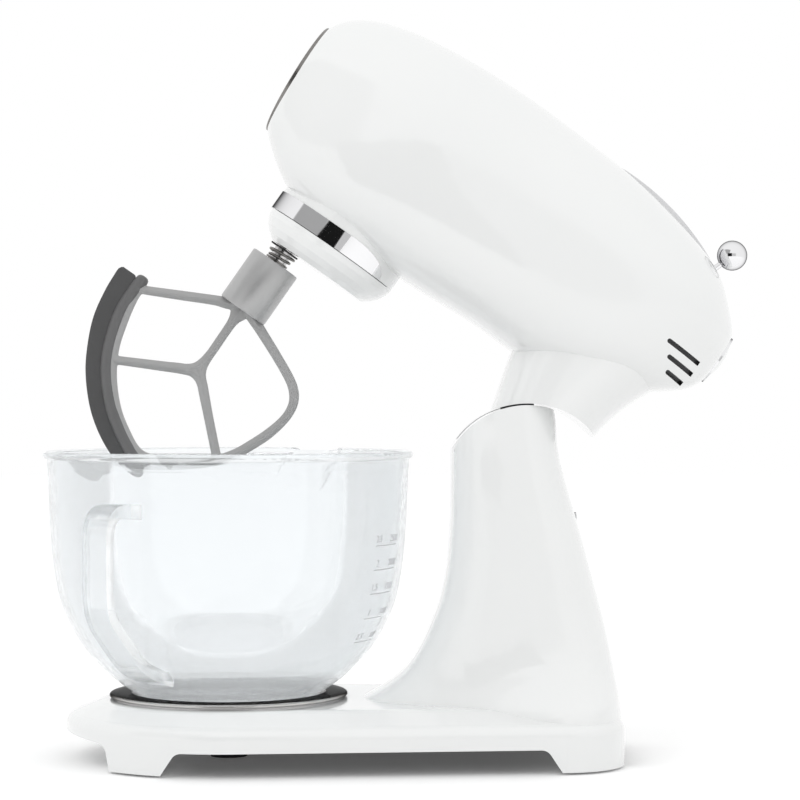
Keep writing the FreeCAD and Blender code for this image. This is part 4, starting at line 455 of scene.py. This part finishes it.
# ---------------------------------------------------------------- mesh helpers
def finish_piece(shape, name, coat, body, replaces=(), turn=None, sharp=35.0):
    """Makes an object of a mesh, lets it ride on a body and hides the nodes it stands for.

    turn brings the mesh to its place, and edges that turn by more than sharp degrees stay crisp. A piece
    that bends between two bodies is given no body here.
    """
    if turn is not None:
        bmesh.ops.transform(shape, matrix=turn, verts=shape.verts)
    bmesh.ops.recalc_face_normals(shape, faces=shape.faces)
    mesh = bpy.data.meshes.new(name)
    shape.to_mesh(mesh)
    shape.free()
    mesh.shade_smooth()
    mesh.set_sharp_from_angle(angle=math.radians(sharp))
    mesh.materials.append(coat)
    piece = bpy.data.objects.new(name, mesh)
    bpy.context.scene.collection.objects.link(piece)
    if body is not None:
        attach(piece, body)
    if replaces:
        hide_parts(*replaces)
    return piece


def smooth_path(points, step):
    """Smooth curve through rows whose first two numbers are a place. The other numbers follow along."""
    rows = [Vector(point) for point in points]
    gaps = [(after.xy - before.xy).length for before, after in zip(rows, rows[1:])]
    slopes = []
    for index in range(len(rows)):
        low, high = max(index - 1, 0), min(index + 1, len(rows) - 1)
        slopes.append((rows[high] - rows[low]) / sum(gaps[low:high]))
    path = []
    for index, gap in enumerate(gaps):
        count = max(1, round(gap / step))
        for part in range(count):
            t = part / count
            leave = slopes[index] * gap
            reach = slopes[index + 1] * gap
            start = rows[index] * (2 * t ** 3 - 3 * t ** 2 + 1) + leave * (t ** 3 - 2 * t ** 2 + t)
            end = rows[index + 1] * (3 * t ** 2 - 2 * t ** 3) + reach * (t ** 3 - t ** 2)
            path.append(start + end)
    return path + [rows[-1]]


def flat_frames(points, step=1.2, roll=0.0):
    """Rings along a line in the X-Z plane. A point is (x, z, width, thickness across) in millimetres."""
    path = smooth_path(points, step)
    frames = []
    for index, point in enumerate(path):
        along = path[min(index + 1, len(path) - 1)].xy - path[max(index - 1, 0)].xy
        along.normalize()
        side = Vector((-along.y, 0, along.x)) * point.z / 2
        ahead = Vector((along.x, 0, along.y))
        ring = Matrix((side, Vector((0, point.w / 2, 0)), ahead)).transposed().to_4x4()
        ring.translation = Vector((point.x, 0, point.y))
        frames.append(Matrix.Scale(MM, 4) @ ring @ Matrix.Rotation(math.radians(roll), 4, "Z"))
    return frames


def swept(shape, frames, sides):
    """Closed skin over a row of rings. Each frame places and scales a unit circle."""
    before = None
    for index, place in enumerate(frames):
        end = index in (0, len(frames) - 1)
        ring = bmesh.ops.create_circle(shape, cap_ends=end, radius=1.0, segments=sides)["verts"]
        bmesh.ops.transform(shape, matrix=place, verts=ring)
        edges = []
        for vert in ring:
            edges += [edge for edge in vert.link_edges if edge not in edges]
        if before is not None:
            bmesh.ops.bridge_loops(shape, edges=before + edges)
        before = edges


def lathe(profile, steps=128):
    """A mesh with points (radius, height) in millimetres spun about Z into a closed skin."""
    shape = bmesh.new()
    verts = [shape.verts.new((radius * MM, 0, height * MM)) for radius, height in profile]
    edges = [shape.edges.new(pair) for pair in zip(verts, verts[1:])]
    if profile[0][0] > 0:
        edges.append(shape.edges.new((verts[-1], verts[0])))
    bmesh.ops.spin(shape, geom=verts + edges, cent=(0, 0, 0), axis=(0, 0, 1), angle=2 * math.pi,
                   steps=steps, use_merge=True)
    bmesh.ops.remove_doubles(shape, verts=shape.verts, dist=WELD)
    return shape


# ---------------------------------------------------------------- beater
# the beater's own frame: X forward of its shaft, Z up it, with the head closed
BEATER_ORBIT = 0.0247
BEATER_DATUM = 0.1735
BEATER = HEAD @ Matrix.Translation((-BEATER_ORBIT, 0, BEATER_DATUM)) @ Matrix.Rotation(math.pi, 4, "Z")
ARM_SIDES = 6            # gives each arm its ridge
ARM_VOXEL = 0.0005
ARM_SOFTEN = 8
BEATER_ARMS = {
    "front arm": [
        (0, -7, 9, 9), (11, -12, 8.8, 9), (18, -14.9, 7.6, 8.6), (38, -25, 7.2, 8), (58, -35.1, 6.6, 8),
        (62, -37, 6.4, 8)],
    "rear arm and the rim round to the wiper's upper end": [
        (0, -7, 9, 9), (-10, -11, 8.8, 9), (-16, -13.6, 7.8, 8.6), (-36, -22.2, 7.2, 8),
        (-52, -30, 7.2, 8), (-58.7, -35.6, 7.4, 8), (-62.3, -42.5, 7, 8), (-62.9, -52.3, 6.8, 8),
        (-59.7, -66.5, 7.6, 8), (-54.3, -80, 7.6, 8), (-50.5, -88, 7.6, 8), (-44, -97.5, 7.6, 8),
        (-34.5, -107, 7.6, 8), (-24, -114.8, 7.6, 8), (-12, -121.2, 7.6, 8), (-2, -124.9, 7.6, 8),
        (5, -124.6, 7.6, 8), (14, -120.6, 7.6, 8), (29.5, -110.6, 7.6, 8), (44.3, -95, 7.6, 8),
        (54.2, -78.2, 7.6, 8), (60.4, -57.6, 7.6, 8), (63, -44, 7.6, 8), (63.3, -36.5, 7.6, 8),
        (62.9, -32.5, 5.5, 6.5)],
    "middle arm that turns off to the rear below": [
        (0.8, -8, 16, 9), (0.9, -14, 13, 9), (1, -17.6, 9, 8.6), (1, -22, 7, 8.2), (0.8, -38, 6.6, 8),
        (0.4, -53, 6.6, 8), (-2, -60, 7.2, 8), (-7.9, -66.2, 7.6, 8), (-20, -78, 7, 8),
        (-38.5, -95.6, 6.8, 8), (-42, -98.8, 6.8, 8)],
    "branch to the front": [
        (-9, -67.2, 7, 8), (-3, -62.8, 7.4, 8), (3, -61.4, 7.8, 8), (8.5, -62.9, 8.2, 8),
        (20, -68.8, 7.6, 8), (48, -83.4, 6.6, 8), (52.5, -85.8, 6.6, 8)],
    "fillet between the middle arm and its branch": [
        (0.8, -44, 6.4, 8), (1.6, -52, 6.8, 8), (4, -58.2, 7, 8), (10, -63.2, 7, 8), (20, -68.6, 7, 8)],
}


def beater_casting():
    """Flat beater's arms and rim: ridged bars run together with small fillets."""
    shape = bmesh.new()
    for arm in BEATER_ARMS.values():
        swept(shape, flat_frames(arm), ARM_SIDES)
    piece = finish_piece(shape, "beater_arms", beater_coat, "beater", ["beater_frame"], BEATER)
    skin = piece.modifiers.new("skin", "REMESH")
    skin.mode = "VOXEL"
    skin.voxel_size = ARM_VOXEL
    skin.use_smooth_shade = True
    soften = piece.modifiers.new("soften", "SMOOTH")
    soften.factor = 0.5
    soften.iterations = ARM_SOFTEN


# sizes of the hub in millimetres
HUB_RADIUS = 17.0
HUB_TOP = 27.5
HUB_LOW = -10.2
HUB_BORE = 7.4
HUB_BORE_DEPTH = 8
HUB_ROUND = 1.0          # its corners, turned in two facets
HUB_FACET = 0.3


def beater_hub():
    """Plain round socket with a dished lower end."""
    flat = HUB_RADIUS - HUB_ROUND
    facet = HUB_RADIUS - HUB_FACET
    shape = lathe([
        (0, HUB_TOP - HUB_BORE_DEPTH), (HUB_BORE, HUB_TOP - HUB_BORE_DEPTH), (HUB_BORE, HUB_TOP),
        (flat, HUB_TOP), (facet, HUB_TOP - HUB_FACET), (HUB_RADIUS, HUB_TOP - HUB_ROUND),
        (HUB_RADIUS, HUB_LOW + HUB_ROUND), (facet, HUB_LOW + HUB_FACET), (flat, HUB_LOW),
        # the dish, from its lip to its middle
        (HUB_RADIUS - 3.4, HUB_LOW), (HUB_RADIUS - 4.2, HUB_LOW + 2.0),
        (HUB_RADIUS - 5.5, HUB_LOW + 3.2), (0, HUB_LOW + 3.6)])
    finish_piece(shape, "beater_socket", hub_coat, "beater", ["beater_frame"], BEATER)


WIPER_LIP = [
    (64.6, -28.6, 2.5, 3), (64.6, -29.0, 5.4, 7), (64.6, -30.0, 7.6, 9.2), (64.7, -32, 8.6, 9.8),
    (65.0, -40, 8.9, 9.8), (64.0, -56.7, 8.9, 9.8), (57.4, -78.3, 8.9, 9.8), (49.3, -93.2, 8.9, 9.8),
    (34.5, -109.4, 8.9, 9.8), (21.0, -119.1, 8.9, 9.8), (7.8, -126.1, 8.9, 9.8), (-1, -128.5, 8.9, 9.8),
    (-6, -128.4, 8.4, 9.6), (-8.5, -128.1, 5.5, 7), (-9.3, -128.0, 2.5, 3),
]
WIPER_BLADE = [
    (75.2, -31.4, 8.5, 3.0), (75.2, -32.0, 10.8, 3.2), (75.1, -33.6, 12.8, 3.4), (74.9, -38, 13.2, 3.4),
    (74.0, -50, 13.2, 3.4), (71.0, -66.5, 12.8, 3.4), (64.8, -82, 12.4, 3.3), (56.2, -97.2, 12, 3.2),
    (43.2, -112.4, 11.6, 3.1), (30.8, -122.4, 11.2, 3.0), (16.2, -130.2, 10.8, 3.0), (4, -133.4, 10.4, 3.0),
    (-3.6, -133.8, 10, 3.0), (-6.6, -133.4, 8, 2.8), (-7.6, -133.2, 5, 2.6),
]
LIP_SIDES = 16
BLADE_ROUND = 0.0007


def wiper_parts():
    """Soft wiper: a channel over the frame's rim and a thin blade outside it."""
    shape = bmesh.new()
    swept(shape, flat_frames(WIPER_LIP), LIP_SIDES)
    finish_piece(shape, "wiper_channel", grey_channel, "beater", ["beater_wiper"], BEATER, 60.0)
    shape = bmesh.new()
    corner = math.sqrt(2)      # from the half width of a square to its corner
    wide = [(x, z, width * corner, thick * corner) for x, z, width, thick in WIPER_BLADE]
    swept(shape, flat_frames(wide, roll=45.0), 4)
    blade = finish_piece(shape, "wiper_blade", soft_grey, "beater", ["beater_wiper"], BEATER)
    edge = blade.modifiers.new("edge", "BEVEL")
    edge.width = BLADE_ROUND
    edge.segments = 2
    edge.limit_method = "ANGLE"
    edge.angle_limit = math.radians(50)


# sizes of the spring in millimetres
SPRING_TURNS = 1.7
SPRING_WIRE = 0.85       # radius of the wire
SPRING_LOW = 30.4
SPRING_HIGH = 35.8
SPRING_NARROW = 6.9      # radius of its lower end
SPRING_WIDEN = 2.3
SPRING_RISE = 0.12       # slope of a turn
SPRING_STEPS = 120


def return_spring():
    """Conical spring between the dish and the hub, which shortens as the beater is pressed up."""
    shape = bmesh.new()
    frames = []
    for index in range(SPRING_STEPS + 1):
        share = index / SPRING_STEPS
        turn = 2 * math.pi * SPRING_TURNS * share
        out = Vector((math.cos(turn), math.sin(turn), 0))
        height = SPRING_LOW + (SPRING_HIGH - SPRING_LOW) * share
        ahead = Vector((-math.sin(turn), math.cos(turn), SPRING_RISE)).normalized()
        side = ahead.cross(out).normalized()
        ring = Matrix((out * SPRING_WIRE, side * SPRING_WIRE, ahead)).transposed().to_4x4()
        ring.translation = out * (SPRING_NARROW + SPRING_WIDEN * share) + UP * height
        frames.append(Matrix.Scale(MM, 4) @ ring)
    swept(shape, frames, 10)
    spring = finish_piece(shape, "return_spring", spring_steel, None, ["shaft_spring"], BEATER, 60.0)
    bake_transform(spring)


def spring_washers():
    """Flat washer at each end of the spring."""
    upper = lathe([(6.5, 36.9), (10.0, 36.9), (10.2, 37.1), (10.2, 37.9), (6.5, 37.9)])
    finish_piece(upper, "upper_washer", black_rubber, "beater_drive", ["shaft_washer"], BEATER)
    lower = lathe([(6.6, 28.0), (7.7, 28.0), (8.0, 28.3), (8.0, 29.0), (7.7, 29.3), (6.6, 29.3)])
    finish_piece(lower, "lower_washer", spring_steel, "beater", (), BEATER)


# ---------------------------------------------------------------- plated trim of the head
BAND_REACH = 143.0       # degrees to each side of the nose
BAND_TURN = 40.0         # of them that the rounded end takes
BAND_THICK = 0.0006
BAND_PROUD = 0.0002
BAND_TIP = 0.02          # least share of its height, at its very ends


def band_wrap():
    """Polished strip round the boss under the head, with its upper edge curved down at both ends."""
    closed = [HEAD.inverted() @ vert.co for vert in NODES["chrome_band"].data.vertices]
    low = min(place.z for place in closed)
    high = max(place.z for place in closed)
    radius = max(math.hypot(place.x, place.y) for place in closed) + BAND_PROUD
    shape = bmesh.new()
    bmesh.ops.create_grid(shape, x_segments=180, y_segments=6, size=0.5)
    for vert in shape.verts:
        angle = 2 * BAND_REACH * vert.co.x
        past = max(0.0, (abs(angle) - BAND_REACH + BAND_TURN) / BAND_TURN)
        share = (vert.co.y + 0.5) * max(BAND_TIP, math.sqrt(max(0.0, 1 - past * past)))
        turn = math.radians(angle)
        vert.co = (-radius * math.cos(turn), radius * math.sin(turn), low + (high - low) * share)
    bmesh.ops.recalc_face_normals(shape, faces=shape.faces)
    bmesh.ops.solidify(shape, geom=shape.faces[:], thickness=BAND_THICK)
    bmesh.ops.recalc_face_normals(shape, faces=shape.faces)
    finish_piece(shape, "band_wrap", chrome, "head", ["chrome_band"], HEAD)


NOSE_LEAN = 3.2          # degrees that the top of the head's front ring leans forward
# sizes of its lip in millimetres
NOSE_LIP = 0.35          # how far it stands proud of the enamel
NOSE_SUNK = 0.4          # how far it reaches into it
NOSE_DEPTH = 2.4
NOSE_FRONT = 0.05        # how far it stands before the ring
NOSE_ROUND = 0.3


def nose_trim():
    """Thin plated lip round the front of the head, just proud of the enamel, in dark steel as a painted
    dark reflection.
    """
    lean = math.radians(NOSE_LEAN)
    ahead = HEAD.to_3x3() @ Vector((-math.cos(lean), 0, -math.sin(lean)))
    upward = HEAD.to_3x3() @ Vector((-math.sin(lean), 0, math.cos(lean)))
    places = [vert.co for vert in NODES["nose_ring"].data.vertices]
    front = max(place.dot(ahead) for place in places)
    low = min(place.dot(upward) for place in places)
    high = max(place.dot(upward) for place in places)
    edge = (high - low) / 2 / MM
    axes = Matrix((upward, ahead.cross(upward), ahead)).transposed().to_4x4()
    axes.translation = ahead * front + upward * (high + low) / 2
    shape = lathe([(edge - NOSE_SUNK, -NOSE_DEPTH), (edge + NOSE_LIP, -NOSE_DEPTH),
                   (edge + NOSE_LIP, -NOSE_ROUND), (edge, NOSE_FRONT), (edge - NOSE_SUNK, NOSE_FRONT)], 160)
    # the dark spring steel on this plated lip is a painted dark reflection, so that it draws as a thin dark
    # line
    finish_piece(shape, "nose_trim", spring_steel, "head", (), axes)


beater_casting()
beater_hub()
band_wrap()
nose_trim()
wiper_parts()
return_spring()
spring_washers()


# ---------------------------------------------------------------- bowl flange
def flange_plate():
    """Polished skin over the steel ring's flange, with a rolled edge."""
    shape = lathe([(63.0, 39.4), (75.6, 39.4), (76.6, 39.7), (77.1, 40.4), (77.0, 41.2), (76.4, 41.8),
                   (75.4, 42.0), (70.0, 42.1), (63.0, 42.3)], 192)
    finish_piece(shape, "flange_skin", dish_steel, "bowl")


flange_plate()


# ---------------------------------------------------------------- bowl markings
# volume marks: height on the wall and the two plain numbers above each
MARKS = [
    (0.1397, "2.5", "2500"),
    (0.1245, "2", "2000"),
    (0.1094, "1.5", "1500"),
    (0.0937, "1", "1000"),
    (0.0785, "0.5", "500"),
]
MARK_SPAN = (-33.0, -18.5)      # azimuths of a mark's ends in degrees
MARK_STEPS = 16
MARK_WIDTH = 0.0003             # half the width of its line
MARK_PROUD = 0.00008
NUMBER_AZIMUTHS = (-31.0, -21.0)
NUMBER_SIZE = 0.0062
NUMBER_RAISE = 0.0022           # foot of a number above its line
OUTSIDE = 0.3                   # further out than the bowl's wall


def wall_place(tree, azimuth, height):
    """Matrix on the glass wall: X along the wall to the right, Y up the wall, Z outward."""
    turn = math.radians(azimuth)
    out = Vector((math.cos(turn), math.sin(turn), 0))
    place, normal = tree.ray_cast(out * OUTSIDE + UP * height, -out)[:2]
    along = UP.cross(normal).normalized()
    axes = Matrix((along, normal.cross(along), normal)).transposed().to_4x4()
    axes.translation = place + normal * MARK_PROUD
    return axes


def number_shape(text):
    """Thin figures in the X-Y plane as a mesh."""
    letters = bpy.data.curves.new(text, "FONT")
    letters.body = text
    letters.size = NUMBER_SIZE
    letters.extrude = MARK_PROUD
    letters.align_x = "CENTER"
    holder = bpy.data.objects.new(text, letters)
    mesh = bpy.data.meshes.new_from_object(holder)
    bpy.data.objects.remove(holder)
    bpy.data.curves.remove(letters)
    return mesh


def mark_frames(tree, height):
    """Rings along one mark's line on the wall."""
    low, high = MARK_SPAN
    section = Matrix.Rotation(math.radians(90), 4, "Y") @ Matrix.Diagonal((MARK_PROUD, MARK_WIDTH, 1, 1))
    azimuths = [low + (high - low) * index / MARK_STEPS for index in range(MARK_STEPS + 1)]
    return [wall_place(tree, azimuth, height) @ section for azimuth in azimuths]


def bowl_marks():
    """Volume marks up the right side of the glass, each with its litres and its millilitres."""
    glass = bmesh.new()
    glass.from_mesh(NODES["bowl_glass"].data)
    tree = BVHTree.FromBMesh(glass)
    glass.free()
    lines = bmesh.new()
    numbers = bmesh.new()
    for height, litres, millilitres in MARKS:
        swept(lines, mark_frames(tree, height), 4)
        for text, azimuth in zip((litres, millilitres), NUMBER_AZIMUTHS):
            figure = number_shape(text)
            figure.transform(wall_place(tree, azimuth, height) @ Matrix.Translation((0, NUMBER_RAISE, 0)))
            numbers.from_mesh(figure)
            bpy.data.meshes.remove(figure)
    bmesh.ops.remove_doubles(numbers, verts=numbers.verts, dist=WELD)
    finish_piece(lines, "volume_lines", mark_print, "bowl")
    finish_piece(numbers, "volume_numbers", mark_print, "bowl")


bowl_marks()


# ---------------------------------------------------------------- studio
WHITE = (1, 1, 1, 1)
FLOOR_CENTRE = Vector((0.1, 0.0, 0.0))
FLOOR_SIZE = 12.0
FLOOR_TONE = 0.90        # what light on the mixer sees of the floor
FLOOR_LIFT = 0.07
WORLD_LIGHT = 0.93
CARD_AIM = Vector((0.1, 0, 0.25))
# name, centre, width, height, brightness, and how wide its edges fade
CARDS = [
    ("front_card", (-1.23, -1.29, 1.30), 2.0, 1.5, 0.42, 0.12),
    ("camera_card", (0.20, -2.6, 0.40), 2.6, 1.5, 0.62, 0.35),
    ("low_card", (-0.13, -0.94, 0.39), 0.62, 0.46, 0.01, 0.02),
]
LAMP_AIM = Vector((0.1, 0, 0.2))
# name, place, size and power
LAMPS = [
    ("key_lamp", (-1.2, -1.4, 1.9), 1.4, 8.0),
    ("fill_lamp", (1.6, -1.0, 1.2), 1.2, 3.0),
]


def stage_plane(name, place, width, depth, coat):
    """Plane of the studio about the middle of place, which is never part of the mixer."""
    mesh = bpy.data.meshes.new(name)
    shape = bmesh.new()
    bmesh.ops.create_grid(shape, x_segments=1, y_segments=1, size=0.5)
    bmesh.ops.scale(shape, vec=(width, depth, 1), verts=shape.verts)
    bmesh.ops.transform(shape, matrix=place, verts=shape.verts)
    shape.to_mesh(mesh)
    shape.free()
    plane = bpy.data.objects.new(name, mesh)
    bpy.context.scene.collection.objects.link(plane)
    mesh.materials.append(coat)
    return plane


def floor_material():
    """Pale floor that shows as white and keeps the mixer's shadow."""
    made = bpy.data.materials.new("pale_floor")
    made.use_nodes = True
    tree = made.node_tree
    surface = tree.nodes["Principled BSDF"]
    surface.inputs["Roughness"].default_value = 0.7
    surface.inputs["Specular IOR Level"].default_value = 0.0
    seen = seen_directly(tree)
    tree.links.new(span(tree, seen, FLOOR_TONE, 1.0), surface.inputs["Base Color"])
    surface.inputs["Emission Color"].default_value = WHITE
    tree.links.new(math_node(tree, "MULTIPLY", seen, FLOOR_LIFT), surface.inputs["Emission Strength"])
    return made


def edge_share(tree, where, place, axis, reach, fade):
    """1 well inside a card, falling to 0 at reach from its middle along one of its axes."""
    line = place.to_3x3().col[axis]
    along = tree.nodes.new("ShaderNodeVectorMath")
    along.operation = "DOT_PRODUCT"
    tree.links.new(where, along.inputs[0])
    along.inputs[1].default_value = line
    off = math_node(tree, "SUBTRACT", along.outputs["Value"], line.dot(place.translation))
    gap = math_node(tree, "SUBTRACT", reach, math_node(tree, "ABSOLUTE", off, 0.0))
    return math_node(tree, "MINIMUM", math_node(tree, "DIVIDE", gap, fade), 1.0)


def card_material(name, place, width, height, value, fade):
    """Even grey glow that thins out to nothing at the card's edges."""
    made = bpy.data.materials.new(name)
    made.use_nodes = True
    tree = made.node_tree
    tree.nodes.remove(tree.nodes["Principled BSDF"])
    glow = tree.nodes.new("ShaderNodeEmission")
    glow.inputs["Color"].default_value = (value, value, value, 1)
    where = tree.nodes.new("ShaderNodeTexCoord").outputs["Object"]
    solid = math_node(tree, "MULTIPLY", edge_share(tree, where, place, 0, width / 2, fade),
                      edge_share(tree, where, place, 1, height / 2, fade))
    clear = tree.nodes.new("ShaderNodeBsdfTransparent")
    shown = mixed(tree, solid, clear.outputs[0], glow.outputs[0])
    tree.links.new(shown, tree.nodes["Material Output"].inputs["Surface"])
    return made


def reflection_card(name, centre, width, height, value, fade):
    """Card that faces the mixer and shows only in reflections."""
    turn = (CARD_AIM - Vector(centre)).to_track_quat("Z", "Y").to_matrix().to_4x4()
    place = Matrix.Translation(Vector(centre)) @ turn
    card = stage_plane(name, place, width, height, card_material(name, place, width, height, value, fade))
    card.visible_camera = False
    card.visible_diffuse = False
    card.visible_shadow = False
    card.visible_transmission = False


def studio_world():
    """Even white surroundings."""
    world = bpy.data.worlds.new("studio")
    bpy.context.scene.world = world
    world.use_nodes = True
    tree = world.node_tree
    background = tree.nodes["Background"]
    background.inputs["Color"].default_value = WHITE
    tree.links.new(span(tree, seen_directly(tree), WORLD_LIGHT, 1.0), background.inputs["Strength"])


def soft_lamp(name, place, size, power):
    """Square lamp aimed at the mixer, kept out of reflections."""
    lamp = bpy.data.lights.new(name, "AREA")
    lamp.shape = "RECTANGLE"
    lamp.size = size
    lamp.size_y = size
    lamp.energy = power
    holder = bpy.data.objects.new(name, lamp)
    holder.location = place
    holder.rotation_euler = (LAMP_AIM - Vector(place)).to_track_quat("-Z", "Y").to_euler()
    holder.visible_glossy = False
    bpy.context.scene.collection.objects.link(holder)


stage_plane("floor", Matrix.Translation(FLOOR_CENTRE), FLOOR_SIZE, FLOOR_SIZE, floor_material())
for card in CARDS:
    reflection_card(*card)
studio_world()
for lamp in LAMPS:
    soft_lamp(*lamp)

# ---------------------------------------------------------------- camera
CAMERA_X = 0.11115
CAMERA_Z = 0.231
CAMERA_DISTANCE = 1.6
VIEW_WIDTH = 0.520       # width of the view at the mixer's middle
SENSOR_WIDTH = 36.0
camera_data = bpy.data.cameras.new("camera")
camera_data.sensor_width = SENSOR_WIDTH
camera_data.lens = SENSOR_WIDTH * CAMERA_DISTANCE / VIEW_WIDTH
camera_data.clip_end = 30.0
camera = bpy.data.objects.new("camera", camera_data)
camera.location = (CAMERA_X, -CAMERA_DISTANCE, CAMERA_Z)
camera.rotation_euler = (math.radians(90), 0, 0)
bpy.context.scene.collection.objects.link(camera)
bpy.context.scene.camera = camera
bpy.context.scene.view_settings.view_transform = "Standard"
